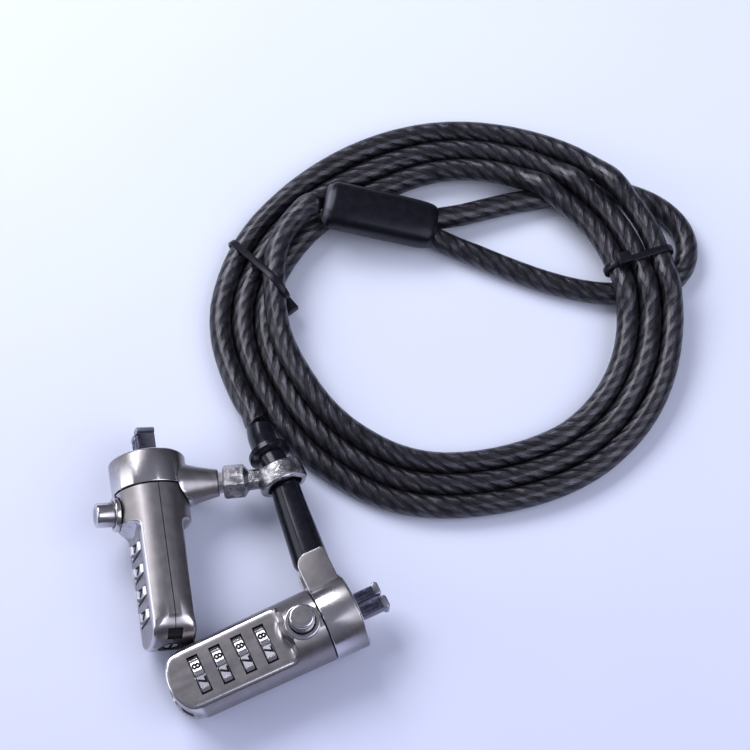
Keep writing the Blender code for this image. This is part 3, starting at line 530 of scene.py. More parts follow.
def make(name, mesh, finish, place, rides, node, angle, tools=(), polish=None, **easing):
    """A piece that stands for a node: cut, painted, smoothed; rides is its body and its slot, and the slot is
    not used.
    """
    item = add(name, mesh, finish, place)
    if tools:
        combine(item, *tools)
    paint(item, polish)
    smooth(item, angle, **easing)
    finish_piece(item, *rides, node)


# ---------------------------------------------------------------- cable: route and settling
CORD_RADIUS = 2.75  # this section is in millimetres, in the working frame
CABLE_RADIUS = CORD_RADIUS * MM
CLOSE_PITCH = 5.6
# middle of the bundle of turns: x, y, width across the turns (same ring as the modelled coil)
COIL_RING = [(-31.0, 7.5, 17.4), (-26.5, 30.0, 20.4), (-9.0, 50.0, 19.0), (15.0, 60.6, 16.8),
             (39.5, 56.4, 16.6), (58.5, 41.5, 16.4), (67.8, 19.0, 14.2), (65.0, -2.8, 13.4),
             (51.5, -20.6, 13.8), (28.2, -29.2, 15.4), (5.0, -29.2, 14.6), (-14.0, -16.4, 10.4)]
ROUND = len(COIL_RING)
# places on the ring, counted in its points: where the loop passes under, where the turns change lane
LOOP_CROSSINGS = [4.55, 5.95]
LANE_CHANGES = [11.2, 10.9, 10.5, 10.3]
OUTER_BULGE = 4.9
FOUR_ABREAST = 0.4
FIRST_PLACE, LAST_PLACE = 0.35, 36.35
STEPS_PER_PLACE = 6
CROSSING_RISE = 5.5
BOOT_ROUTE = [(-16.4, -45.8, 9.0), (-19.3, -37.6, 9.0), (-22.05, -29.62, 9.0), (-24.9, -23.8, 8.1),
              (-26.7, -19.6, 6.4), (-27.4, -16.4, 5.4)]
LEAD_ROUTE = [(-27.65, -15.3, 5.05), (-29.2, -12.6, 4.2)]
LOOP_ROUTE = [(12.6, 35.9, 4.9), (15.9, 34.6, 4.0), (23.0, 31.6, 3.0), (33.0, 27.2, 2.8), (45.6, 22.0, 2.8),
              (57.0, 19.4, 2.8), (68.5, 19.8, 2.8), (76.2, 23.4, 2.8), (79.8, 30.8, 2.8), (78.4, 39.0, 2.8),
              (71.6, 45.8, 2.8), (61.7, 49.6, 2.8), (50.0, 50.2, 2.8), (38.5, 47.6, 2.8), (28.0, 43.4, 3.2),
              (16.6, 40.4, 4.6), (13.2, 39.8, 5.4)]
TAIL_ROUTE = [(-26.0, 25.5, 7.6), (-25.2, 33.0, 9.6), (-21.2, 39.4, 10.4), (-14.0, 42.0, 10.2)]


def curve_point(a, b, c, d, t):
    """Point at t between b and c on the smooth curve through the four."""
    return 0.5 * ((2 * b) + (c - a) * t + (2 * a - 5 * b + 4 * c - d) * t ** 2
                  + (3 * b - a - 3 * c + d) * t ** 3)


def running_lengths(points):
    lengths = [0.0]
    for index in range(1, len(points)):
        lengths.append(lengths[-1] + (points[index] - points[index - 1]).length)
    return lengths


def heading(points, index):
    """Direction of a row of points at one of them."""
    before = points[max(index - 1, 0)]
    after = points[min(index + 1, len(points) - 1)]
    return (after - before).normalized()


def smooth_route(points, spacing):
    """Points at even steps on a smooth curve through the given ones."""
    fine = []
    last = len(points) - 1
    for index in range(last):
        four = [points[min(max(index + step, 0), last)] for step in (-1, 0, 1, 2)]
        fine += [curve_point(*four, step / 24) for step in range(24)]
    fine.append(points[-1])
    lengths = running_lengths(fine)
    count = max(2, round(lengths[-1] / spacing) + 1)
    row = []
    place = 0
    for step in range(count):
        wanted = lengths[-1] * step / (count - 1)
        while place < len(fine) - 2 and lengths[place + 1] < wanted:
            place += 1
        span = lengths[place + 1] - lengths[place]
        row.append(fine[place].lerp(fine[place + 1], (wanted - lengths[place]) / span))
    return row


def ease(value):
    value = min(max(value, 0.0), 1.0)
    return value * value * (3 - 2 * value)


def ring_at(place):
    """Middle of the bundle at a place on the ring, its direction and half its width."""
    base = math.floor(place)
    t = place - base
    a, b, c, d = [Vector(COIL_RING[(base + step) % ROUND]) for step in (-1, 0, 1, 2)]
    value = curve_point(a, b, c, d, t)
    slope = 0.5 * ((c - a) + 2 * (2 * a - 5 * b + 4 * c - d) * t + 3 * (3 * b - a - 3 * c + d) * t ** 2)
    along = Vector((slope.x, slope.y, 0)).normalized()
    return Vector((value.x, value.y, 0)), along, value.z / 2


def near_place(place, centre, flat, fade):
    """1 near a place on the ring, falling to 0 away from it."""
    offset = abs((place - centre + ROUND / 2) % ROUND - ROUND / 2)
    return 1.0 - ease((offset - flat) / fade)


def turn_point(t):
    """Where the cable wants to lie at place t; its lanes run from the outside of the bundle in."""
    place = t % ROUND
    middle, along, half = ring_at(place)
    outward = Vector((-along.y, along.x, 0))
    number = math.floor(t / ROUND + 1e-9)
    change = LANE_CHANGES[min(number, len(LANE_CHANGES) - 1)]
    lane = number + ease((place - change) / 0.9)
    room = half - CORD_RADIUS
    four = near_place(place, FOUR_ABREAST, 1.0, 1.0)
    step = room * (1 - four) + room * 2 / 3 * four
    u = room - lane * step
    high = lane % 2
    high = high if high <= 1 else 2 - high
    gap = max(0.0, CLOSE_PITCH ** 2 - step ** 2) ** 0.5
    z = CLOSE_PITCH / 2 + high * gap * 0.9
    z += CROSSING_RISE * max(near_place(place, crossing, 0.4, 1.5) for crossing in LOOP_CROSSINGS)
    if lane < 0.5:
        u += 1.1 * near_place(place, OUTER_BULGE, 0.2, 1.3)
    return middle + outward * u + Vector((0, 0, z))


ROUNDS = 260
SAG = 0.03
STRAIGHTEN = 0.42
KEEP_PLACE = 0.03
KEEP_LEVEL = 0.12
LEVEL_REACH = 5


def steady(points, held, kind):
    """The stiffness of the rope: its height changes only slowly along it."""
    rows = np.arange(LEVEL_REACH, len(points) - LEVEL_REACH)
    same = kind[rows - LEVEL_REACH] == kind[rows + LEVEL_REACH]
    rows = rows[same & ~held[rows]]
    level = 0.5 * (points[rows - LEVEL_REACH, 2] + points[rows + LEVEL_REACH, 2])
    points[rows, 2] += (level - points[rows, 2]) * KEEP_LEVEL


def push_apart(points, held, far):
    """Moves turns that lie closer than they are thick, and lifts what is below the floor."""
    thick = 2 * CORD_RADIUS
    apart = points[:, None, :] - points[None, :, :]
    distance = np.sqrt((apart ** 2).sum(2)) + 1e-9
    close = far & (distance < thick)
    push = np.where(close, (thick - distance) * 0.5, 0.0)
    move = (apart / distance[:, :, None] * push[:, :, None]).sum(1)
    count = np.maximum(close.sum(1), 1)[:, None]
    points += np.where(held[:, None], 0.0, move / count * 0.9)
    points[:, 2] = np.maximum(points[:, 2], np.where(held, points[:, 2], thick / 2 + 0.05))


def settle(cable, loop):
    """Lets the turns push one another apart, sag on to the floor and on to one another, and smooth out."""
    points = np.array([list(p) for p in cable + loop])
    first = len(cable)
    kind = np.array([0] * len(cable) + [1] * len(loop))
    order = np.arange(len(points))
    wanted = points.copy()
    lengths = np.linalg.norm(points[1:] - points[:-1], axis=1)
    held = np.zeros(len(points), bool)
    held[:3] = True
    held[first - 2:first + 4] = True
    held[-4:] = True
    linked = np.ones(len(points) - 1, bool)
    linked[first - 1] = False
    inner = np.zeros(len(points), bool)
    inner[1:-1] = linked[1:] & linked[:-1]
    where = np.nonzero(inner & ~held)[0]
    far = (np.abs(order[:, None] - order[None, :]) > 5) | (kind[:, None] != kind[None, :])
    for _ in range(ROUNDS):
        points[~held, 2] -= SAG
        halfway = 0.5 * (points[where - 1] + points[where + 1])
        points[where] += (halfway - points[where]) * STRAIGHTEN
        points[where, :2] += (wanted[where, :2] - points[where, :2]) * KEEP_PLACE
        steady(points, held, kind)
        for _ in range(3):
            push_apart(points, held, far)
        delta = points[1:] - points[:-1]
        size = np.linalg.norm(delta, axis=1) + 1e-9
        wrong = ((size - lengths) / size)[:, None] * delta * 0.5
        wrong[~linked] = 0
        shift = np.zeros_like(points)
        shift[:-1] += wrong * 0.5
        shift[1:] -= wrong * 0.5
        points += np.where(held[:, None], 0.0, shift)
    return [Vector(p) for p in points[:first]], [Vector(p) for p in points[first:]]


def build_routes():
    turns = []
    for index in range(int((LAST_PLACE - FIRST_PLACE) * STEPS_PER_PLACE) + 1):
        turns.append(turn_point(FIRST_PLACE + index / STEPS_PER_PLACE))
    lead = [Vector(p) for p in LEAD_ROUTE]
    tail = [Vector(p) for p in TAIL_ROUTE]
    cable = smooth_route(lead + turns + tail, CORD_RADIUS)
    loop = smooth_route([Vector(p) for p in LOOP_ROUTE], CORD_RADIUS)
    return settle(cable, loop)


def build_tube(name, route, lay, *nodes):
    """Round cable along a route; u is the length along it and v the way round."""
    spacing, around = 0.9, 20
    path = smooth_route(route, spacing)
    sections = []
    side = heading(path, 0).cross(Vector((0, 0, 1))).normalized()
    for index, point in enumerate(path):
        along = heading(path, index)
        side = (side - along * side.dot(along)).normalized()
        up = along.cross(side)
        ring = []
        for step in range(around):
            a = math.tau * step / around
            place = point + (side * math.cos(a) + up * math.sin(a)) * (CABLE_RADIUS / MM)
            ring.append(SHIFT + place * MM)
        sections.append(ring)
    mesh = loft(name, sections)
    sheet = mesh.uv_layers.new(name="cable").data
    for face in mesh.polygons[:(len(path) - 1) * around]:
        face.use_smooth = True
        last = face.index % around == around - 1
        for corner in face.loop_indices:
            row, step = divmod(mesh.loops[corner].vertex_index, around)
            sheet[corner].uv = (row * spacing, (around if last and step == 0 else step) / around)
    item = add(name, mesh, CABLE)
    finish_piece(item, "cable", "jacket", *nodes)
    length = running_lengths(path)[-1] * MM
    path = [list(SHIFT + point * MM) for point in path]
    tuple(path[0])


cable_line, loop_line = build_routes()
build_tube("cable", cable_line, "coiled", "cable_coil", "cable_lead", "cable_tail")
build_tube("loop", loop_line, "loose", "cable_loop")


# ---------------------------------------------------------------- lock heads
BODY_LENGTH = 37.4 * MM
BODY_RADIUS = 8.7 * MM
TAIL_RADIUS = 8.35 * MM
FLAT_HEIGHT = 5.1 * MM
EDGE_ROUND = 0.6 * MM
TAIL_HALF_WIDTH = 7.8 * MM
TAIL_DEPTH = 5.5 * MM
BARREL_START = -9.8 * MM
BARREL_RAMP = 2.0 * MM
SCOOP_OUTER = 6.6 * MM
SCOOP_INNER = 4.3 * MM
SCOOP_RISE = 3.6 * MM
PARTING = 0.09 * MM
DIAL_FIRST = -13.7 * MM
DIAL_PITCH = 5.4 * MM
DIAL_WIDTH = 2.2 * MM
DIAL_RIDGE_RADIUS = 6.6 * MM
DIAL_FACET_RADIUS = 6.2 * MM
SLOT_RADIUS = DIAL_RIDGE_RADIUS + GAP
SLOT_WIDTH = DIAL_WIDTH + 1.6 * GAP
FIGURE_TALL = 2.0 * MM
SPINDLE_RADIUS = 1.8 * MM
SPINDLE_FRONT = -10.6 * MM
SPINDLE_FACE = -36.8 * MM
INSERT_FRONT = -33.6 * MM
INSERT_FACE = -36.9 * MM
INSERT_RADIUS = 2.9 * MM
INSERT_TAB_HALF = 1.6 * MM
INSERT_TAB_REACH = 6.6 * MM
INSERT_FIT = 0.12 * MM
BUTTON_X = -4.4 * MM
BUTTON_RADIUS = 2.9 * MM
BUTTON_BOTTOM = 8.4 * MM
BUTTON_TOP = 13.7 * MM
BUTTON_FLOOR = 6.6 * MM
BUTTON_FIT = 0.15 * MM
BEZEL_RADIUS = 4.1 * MM
BEZEL_TOP = 9.5 * MM
BOSS_TOP = 8.3 * MM
COLLAR_RADIUS = 9.0 * MM
COLLAR_LENGTH = 8.6 * MM
COLLAR_ROUND = 0.8 * MM
NOSE_ROOT_RADIUS = 5.9 * MM
NOSE_STEM_RADIUS = 5.0 * MM
NOSE_FLANGE_RADIUS = 6.2 * MM
NOSE_FACE = COLLAR_LENGTH - 0.15 * MM
NOSE_FLANGE = NOSE_FACE - 1.2 * MM
NOSE_BORE_RADIUS = 3.95 * MM
HOOK_PIVOT_X = 0.4 * MM
HOOK_INNER = 0.3 * MM
HOOK_OUTER = 2.9 * MM
HOOK_HALF_HEIGHT = 2.2 * MM


def rounded_most(first, second, radius):
    """The greater of two distances, with the corner between them rounded."""
    corner = math.hypot(max(first + radius, 0.0), max(second + radius, 0.0)) - radius
    return min(max(first, second), -radius) + max(corner + radius, 0.0)


def quarter_rise(depth):
    """Height of the quarter-round slope from the flat up to the barrel."""
    if depth <= 0.0:
        return 0.0
    if depth >= 1.0:
        return SCOOP_RISE
    return SCOOP_RISE * (1.0 - math.sqrt(1.0 - depth * depth))


def body_parts(x, y, z):
    """Distances to the round side, the flat and the tail end."""
    share = min(max(-x / BODY_LENGTH, 0.0), 1.0)
    side = math.hypot(y, z) - (BODY_RADIUS + (TAIL_RADIUS - BODY_RADIUS) * share)
    rise = quarter_rise((x - BARREL_START) / BARREL_RAMP)
    if z > 0:
        from_button = math.hypot(x - BUTTON_X, y)
        rise = max(rise, quarter_rise((SCOOP_OUTER - from_button) / (SCOOP_OUTER - SCOOP_INNER)))
    flat = abs(z) - FLAT_HEIGHT - rise
    shoulder = -BODY_LENGTH + TAIL_DEPTH
    end = -1.0
    if x < shoulder:
        end = (math.hypot((shoulder - x) / TAIL_DEPTH, y / TAIL_HALF_WIDTH) - 1.0) * TAIL_DEPTH
    return side, flat, end


def skin_reach(x, across, up):
    """How far the body reaches from its axis in one direction."""
    near, far = 0.0, 2 * BODY_RADIUS
    for _ in range(26):
        middle = (near + far) / 2
        side, flat, end = body_parts(x, across * middle, up * middle)
        if rounded_most(rounded_most(side, flat, EDGE_ROUND), end, EDGE_ROUND) < 0:
            near = middle
        else:
            far = middle
    return near


def half_section(x, side, count=61):
    """Outline of one shell across the axis, from the parting on one side to the other."""
    wide = skin_reach(x, 1.0, 0.0)
    tall = skin_reach(x, 0.0, side)
    row = []
    for index in range(count):
        a = math.pi * index / (count - 1)
        across, up = wide * math.cos(a), side * tall * math.sin(a)
        size = math.hypot(across, up)
        reach = skin_reach(x, across / size, up / size)
        level = max(abs(up / size) * reach, PARTING)
        row.append((x, across / size * reach, side * level))
    return row


def stations():
    """Places of the sections along the axis, closest where the shape changes most."""
    depths = (0.06, 0.14, 0.25, 0.4, 0.6, 0.85, 1.2, 1.7, 2.3, 3.0, 3.8, 4.7, 5.5)
    waist = [28.0, 22.0, 16.0, 12.4, 11.6]
    scoop = list(np.arange(11.1, 7.0, -0.15))
    barrel = [6.9, 6.2, 5.4, 4.4, 3.4, 2.4, 1.4, 0.7]
    return [-BODY_LENGTH + d * MM for d in depths] + [-x * MM for x in waist + scoop + barrel] + [-GAP / 2]


def shell_polish(co):
    """Painted bright along the edges, as polish and painted highlight, and a painted highlight in the scoop
    round the button.
    """
    side, flat, end = body_parts(co.x, co.y, co.z)
    second = sorted((side, flat, end))[1]
    edge = 1.0 - min(max((-second - 0.25 * MM) / (0.55 * MM), 0.0), 1.0)
    from_button = math.hypot(co.x - BUTTON_X, co.y)
    # painted highlight in the scoop round the button
    in_scoop = co.z > FLAT_HEIGHT + 0.25 * MM and from_button < SCOOP_OUTER and side < -0.4 * MM
    return max(edge, 0.8 if in_scoop else 0.0)


def insert_outline(grow):
    """The tail insert's tab: its outer end follows the tail's curve."""
    fine = 17
    reach = INSERT_TAB_REACH + grow
    front = -BODY_LENGTH + GAP - 2 * grow
    row = []
    for index in range(fine):
        across = -reach * index / (fine - 1)
        inset = TAIL_DEPTH * (1.0 - math.sqrt(1.0 - (across / (TAIL_HALF_WIDTH + 2 * grow)) ** 2))
        row.append((max(front + inset, INSERT_FACE - 4 * grow), across))
    return row + [(INSERT_FRONT + grow, -reach), (INSERT_FRONT + grow, 0.0)]


def build_shell(tag, which, side, place):
    mesh = loft("shell", [half_section(x, side) for x in stations()])
    bore = SPINDLE_RADIUS + GAP
    hollow = [(INSERT_FRONT - GAP, bore)]
    for index in reversed(range(4)):
        back = DIAL_FIRST - DIAL_PITCH * index - SLOT_WIDTH / 2
        front = back + SLOT_WIDTH
        hollow += [(back, bore), (back, SLOT_RADIUS), (front, SLOT_RADIUS), (front, bore)]
    hollow.append((SPINDLE_FRONT + GAP, bore))
    tab_half = INSERT_TAB_HALF + INSERT_FIT
    tools = [cut(turned("hollow", hollow, 72)),
             cut(rod(-BODY_LENGTH - MM, INSERT_FRONT + GAP, INSERT_RADIUS + INSERT_FIT)),
             cut(slab("tab", insert_outline(INSERT_FIT), -tab_half, tab_half))]
    if side > 0:
        button_well, bezel_well = BUTTON_RADIUS + BUTTON_FIT, BEZEL_RADIUS + 0.25 * MM
        well = [(BUTTON_FLOOR, button_well), (BOSS_TOP, button_well),
                (BOSS_TOP, bezel_well), (2 * BODY_RADIUS, bezel_well)]
        tools.append(cut(upright(turned("well", well)), Matrix.Translation((BUTTON_X, 0, 0))))
    node = f"{which}_shell_{tag}"
    make(node + "_skin", mesh, STEEL, place, (f"body_{tag}", "steel"), node, 34.0, tools, shell_polish,
         bevel=0.10 * MM, bevel_angle=62.0)


def figure_shapes():
    """Flat outlines of the ten figures, centred and one unit tall, a quarter wider than the plain type."""
    shapes = []
    for figure in range(10):
        text = bpy.data.curves.new(f"figure{figure}", "FONT")
        text.body = str(figure)
        text.size = 1.0
        text.offset = 0.035
        text.resolution_u = 3
        item = bpy.data.objects.new(f"figure{figure}", text)
        bpy.context.scene.collection.objects.link(item)
        bpy.context.view_layer.update()
        mesh = bpy.data.meshes.new_from_object(item.evaluated_get(bpy.context.evaluated_depsgraph_get()))
        xs = [v.co.x for v in mesh.vertices]
        ys = [v.co.y for v in mesh.vertices]
        tall = max(ys) - min(ys)
        centred = Matrix.Translation((-(max(xs) + min(xs)) / 2, -(max(ys) + min(ys)) / 2, 0))
        mesh.transform(Matrix.Diagonal((1.25 / tall, 1.0 / tall, 1.0, 1.0)) @ centred)
        bpy.data.objects.remove(item, do_unlink=True)
        shapes.append(mesh)
    return shapes


FIGURES = figure_shapes()
FACETS = len(FIGURES)
SHOWN_FIGURE = 8
RIDGE_ANGLES = (-6.6, -4.6, -3.4, 3.4, 4.6, 6.6)


def wheel_mesh():
    """Wheel of ten facets with a raised ridge between each two."""
    half = DIAL_WIDTH / 2
    ease_by = 0.15 * MM
    bore = SPINDLE_RADIUS + GAP
    foot, shoulder = DIAL_FACET_RADIUS - 0.04 * MM, DIAL_RIDGE_RADIUS - 0.06 * MM
    radii = (foot, shoulder, DIAL_RIDGE_RADIUS, DIAL_RIDGE_RADIUS, shoulder, foot)
    outline = []
    for step in range(FACETS):
        centre = math.pi / 2 + math.tau * step / FACETS
        outline += [(radius, centre + math.radians(offset)) for offset, radius in zip(RIDGE_ANGLES, radii)]
    sections = []
    for x, inset in ((-half, ease_by), (-half + ease_by, 0.0), (half - ease_by, 0.0), (half, ease_by)):
        sections.append([(x, (r - inset) * math.cos(a), (r - inset) * math.sin(a)) for r, a in outline])
    for x in (half, -half):
        sections.append([(x, bore * math.cos(a), bore * math.sin(a)) for r, a in outline])
    return loft("dial", sections, closed=True)


def figures_mesh():
    """One black figure on each facet."""
    builder = bmesh.new()
    for step in range(FACETS):
        angle = math.radians(72 + 36 * step)
        normal = Vector((0, math.cos(angle), math.sin(angle)))
        up = Vector((1, 0, 0))
        middle = normal * (DIAL_FACET_RADIUS * math.cos(math.radians(11.4)) + 0.035 * MM)
        figure = FIGURES[(SHOWN_FIGURE - step) % FACETS].copy()
        figure.transform(placed(up.cross(normal), up, normal, middle) @ Matrix.Scale(FIGURE_TALL, 4))
        builder.from_mesh(figure)
        bpy.data.meshes.remove(figure)
    return keep_mesh("figures", builder)


def build_dial(tag, index, place):
    at = place @ Matrix.Translation((DIAL_FIRST - DIAL_PITCH * index, 0, 0))
    name = f"dial_{tag}{index + 1}"
    # polish and painted highlight on the ridge tops
    make(name + "_wheel", wheel_mesh(), STEEL_DIAL, at, (name, "steel"), name, 25.0,
         polish=lambda co: math.hypot(co.y, co.z) > DIAL_RIDGE_RADIUS - 0.12 * MM)
    ink = add(name + "_figures", figures_mesh(), INK, at)
    finish_piece(ink, name, "matte_black")


def build_button(tag, place):
    rim = 0.55 * MM
    low = BUTTON_TOP - rim
    profile = [(BUTTON_BOTTOM, BUTTON_RADIUS)]
    profile += arc((low, BUTTON_RADIUS - rim), rim, 90, 0, 6)
    profile += [(BUTTON_TOP + 0.03 * MM, BUTTON_RADIUS * 0.5)]
    at = place @ Matrix.Translation((BUTTON_X, 0, 0))
    name = f"button_{tag}"
    # polish and painted highlight on the cap's rounded rim
    make(name + "_cap", upright(turned("cap", profile)), STEEL, at, (name, "steel"), name, 40.0,
         polish=lambda co: co.z > low - 0.1 * MM and math.hypot(co.x, co.y) > BUTTON_RADIUS - rim * 1.05)


def build_bezel(tag, place):
    rim = 0.3 * MM
    base = BOSS_TOP + 0.05 * MM
    inner = BUTTON_RADIUS + BUTTON_FIT
    ring = [(base, inner), (BEZEL_TOP - 0.12 * MM, inner), (BEZEL_TOP, BUTTON_RADIUS + 0.27 * MM)]
    ring += arc((BEZEL_TOP - rim, BEZEL_RADIUS - rim), rim, 0, 90, 5)
    ring += [(base + 0.1 * MM, BEZEL_RADIUS), (base, BEZEL_RADIUS - 0.1 * MM)]
    at = place @ Matrix.Translation((BUTTON_X, 0, 0))
    node = f"button_bezel_{tag}"
    # polish and painted highlight on the bezel's outer rim
    make(node + "_ring", upright(turned("bezel", ring, closed=True)), STEEL, at, (f"body_{tag}", "steel"),
         node, 40.0, polish=lambda co: 0.9 * (math.hypot(co.x, co.y) > BEZEL_RADIUS - rim * 1.2))


def build_nose(tag, place):
    back = -2.4 * MM
    front = back + 1.2 * MM
    rim = 0.2 * MM
    plug = [(back, NOSE_ROOT_RADIUS), (front, NOSE_ROOT_RADIUS), (front, NOSE_STEM_RADIUS),
            (NOSE_FLANGE, NOSE_STEM_RADIUS), (NOSE_FLANGE, NOSE_FLANGE_RADIUS)]
    plug += arc((NOSE_FACE - rim, NOSE_FLANGE_RADIUS - rim), rim, 90, 0, 3)
    mouth = cut(rod(-1.8 * MM, NOSE_FACE + MM, NOSE_BORE_RADIUS))
    make(f"nose_{tag}_plug", turned("nose", plug), STEEL, place, (f"body_{tag}", "steel"), f"nose_{tag}",
         35.0, [mouth])


def build_hook(tag, label, side, tip, place):
    """One prong: a flat finger with a groove along it and a hooked nose."""
    half = (HOOK_OUTER - HOOK_INNER) / 2
    end = tip - HOOK_PIVOT_X
    head = end - 1.5 * MM
    ease_by = 0.45 * MM
    lip = half + 0.5 * MM
    outline = arc((0, 0), half, 90, 270, 10)
    outline += [(end - ease_by, -half), (end, -half + ease_by), (end, half + 0.05 * MM), (end - ease_by, lip),
                (head + 0.35 * MM, lip), (head, half)]
    outline = [(x, side * y) for x, y in outline]
    at = place @ Matrix.Translation((HOOK_PIVOT_X, side * (HOOK_INNER + HOOK_OUTER) / 2, 0))
    name = f"hook_{label}_{tag}"
    mesh = slab("hook", outline, -HOOK_HALF_HEIGHT, HOOK_HALF_HEIGHT, 0.3 * MM)
    groove = oblong(3 * MM, head - 0.9 * MM, 0.3 * MM)
    notch = oblong(head - 0.45 * MM, head - 0.1 * MM, 4 * MM)
    above = HOOK_HALF_HEIGHT + MM
    tools = [cut(slab("groove", groove, HOOK_HALF_HEIGHT - 0.35 * MM, above)),
             cut(slab("notch", notch, HOOK_HALF_HEIGHT - 0.4 * MM, above))]

    # wear and painted highlight on the edges of the hooked head
    def rubbed(co):
        edge = abs(abs(co.y) - half) < 0.6 * MM or co.x > end - 0.5 * MM
        return 0.9 if co.x > head and edge else 0.0
    make(name + "_prong", mesh, DARK_STEEL, at, (name, "dark_steel"), name, 40.0, tools, rubbed)


def collar_mesh():
    back = GAP / 2
    edge = 0.25 * MM
    seat = NOSE_FLANGE - GAP
    bore, flange = NOSE_STEM_RADIUS + GAP, NOSE_FLANGE_RADIUS + GAP
    profile = [(back, bore)]
    profile += arc((back + edge, COLLAR_RADIUS - edge), edge, 180, 90, 3)
    profile += arc((COLLAR_LENGTH - COLLAR_ROUND, COLLAR_RADIUS - COLLAR_ROUND), COLLAR_ROUND, 90, 0, 8)
    profile += [(COLLAR_LENGTH, flange), (seat, flange), (seat, bore)]
    return turned("collar", profile, 96, closed=True)


def collar_polish(co):
    """Painted bright round the front corner and along the back edge, as polish and painted highlight."""
    radius = math.hypot(co.y, co.z)
    corner = COLLAR_RADIUS - 1.4 * COLLAR_ROUND < radius < COLLAR_RADIUS - 0.02 * MM
    front = co.x > COLLAR_LENGTH - COLLAR_ROUND * 1.05 and corner
    back = co.x < GAP / 2 + 0.3 * MM
    return radius <= COLLAR_RADIUS + 0.3 * MM and (front or back)


def build_collar_a(place):
    """Collar with the two ears of the clevis that the boot's pin goes through."""
    back, front, reach, root = 0.3 * MM, 7.7 * MM, 15.4 * MM, 5.8 * MM
    small, large = 1.0 * MM, 3.0 * MM
    thick = 1.3 * MM
    outline = [(back, root), (front, root)]
    outline += arc((front - small, reach - small), small, 0, 90, 6)
    outline += arc((back + large, reach - large), large, 90, 180, 12)
    ears = [join(slab("ear", outline, low, low + thick, 0.28 * MM, 4)) for low in (4.6 * MM, -5.9 * MM)]
    hole = upright(rod(-5.5 * MM, 5.5 * MM, 1.5 * MM, 32))
    tools = ears + [cut(hole, Matrix.Translation((3.9 * MM, 11.5 * MM, 0)))]

    # polish and painted highlight on the edges of the ears, and on the collar's rims
    def rule(co):
        if math.hypot(co.y, co.z) > COLLAR_RADIUS + 0.05 * MM and co.y > root:
            level = min(abs(abs(co.z) - 5.9 * MM), abs(abs(co.z) - 4.6 * MM))
            edge = co.x < back + 0.3 * MM or co.y > reach - 0.3 * MM or co.x > front - 0.3 * MM
            return 0.95 if edge and level > 0.02 * MM else 0.0
        return collar_polish(co)
    make("collar_a_ring", collar_mesh(), STEEL, place, ("collar_a", "steel"), "collar_a", 35.0, tools, rule)


ARM_ROOT = work(-46.4, -32.1, 9.0)
ARM_TIP = work(-36.6, -31.1, 9.0)
SOCKET_RADIUS = 2.6 * MM


def build_collar_b(place):
    """Collar with the arm that reaches across to the eye fitting."""
    across = place.inverted() @ aim(ARM_ROOT, ARM_TIP)
    length = (ARM_TIP - ARM_ROOT).length
    taper = ((0.0, 5.75), (1.2, 5.5), (2.0, 5.25), (2.8, 4.95), (3.8, 4.62), (5.2, 4.22), (7.0, 3.78))
    profile = [(x * MM, r * MM) for x, r in taper] + [(length - 0.6 * MM, 3.28 * MM)]
    profile += arc((length - 0.55 * MM, 2.72 * MM), 0.55 * MM, 80, 0, 5)
    tools = [join(turned("arm", profile), across),
             cut(rod(-BODY_LENGTH / 2, GAP / 2, BODY_RADIUS + GAP, 96)),
             cut(rod(-GAP, COLLAR_LENGTH - 2 * MM, NOSE_STEM_RADIUS + GAP, 64)),
             cut(rod(length - 3.0 * MM, length + MM, SOCKET_RADIUS, 40), across)]
    make("collar_b_ring", collar_mesh(), STEEL, place, ("collar_b", "steel"), "collar_b", 30.0, tools,
         collar_polish)


def build_insert(tag, place):
    tab = slab("insert", insert_outline(0.0), -INSERT_TAB_HALF, INSERT_TAB_HALF)
    disc = [(INSERT_FACE - 0.1 * MM, INSERT_RADIUS - 0.2 * MM), (INSERT_FACE + 0.1 * MM, INSERT_RADIUS),
            (INSERT_FRONT - 0.1 * MM, INSERT_RADIUS)]
    bore = rod(-BODY_LENGTH - MM, INSERT_FRONT + MM, SPINDLE_RADIUS + 0.15 * MM, 40)
    node = f"end_insert_{tag}"
    make(node + "_plug", tab, INSERT_BLACK, place, (f"body_{tag}", "matte_black"), node, 35.0,
         [join(turned("disc", disc, 48)), cut(bore)])


def build_spindle(tag, place):
    """Shaft under the dials; a screwdriver slot shows in its end at the tail."""
    ease_by = 0.25 * MM
    shaft = [(SPINDLE_FACE, SPINDLE_RADIUS - ease_by), (SPINDLE_FACE + ease_by, SPINDLE_RADIUS),
             (SPINDLE_FRONT, SPINDLE_RADIUS)]
    slot = oblong(SPINDLE_FACE - MM, SPINDLE_FACE + MM, 4 * MM)
    slot_cut = cut(slab("slot", slot, -0.35 * MM, 0.35 * MM))

    # painted highlight on the rim of the slotted end, and a little all over
    def rule(co):
        rim = co.x < SPINDLE_FACE + 0.3 * MM and math.hypot(co.y, co.z) > SPINDLE_RADIUS - 0.4 * MM
        return 1.0 if rim else 0.2
    node = f"reset_spindle_{tag}"
    make(node + "_shaft", turned("spindle", shaft, 48), PIN_STEEL, place, (f"screw_{tag}", "bright_steel"),
         node, 35.0, [slot_cut], rule)


for tag in "ab":
    place = head_frame(tag)
    build_shell(tag, "top", 1, place)
    build_shell(tag, "bottom", -1, place)
    for index in range(4):
        build_dial(tag, index, place)
    build_button(tag, place)
    build_bezel(tag, place)
    build_nose(tag, place)
    build_hook(tag, "far", 1, 15.5 * MM, place)
    build_hook(tag, "near", -1, 16.0 * MM, place)
    build_insert(tag, place)
    build_spindle(tag, place)
build_collar_a(head_frame("a"))
build_collar_b(head_frame("b"))


# ---------------------------------------------------------------- pieces on the cable
BOOT_LENGTH = 25.7 * MM
BOOT_NOSE = 1.9 * MM
BOOT_ROOT_RADIUS = 4.25 * MM
BOOT_TAPER = 0.95 * MM
BOOT_BORE = 2.5 * MM


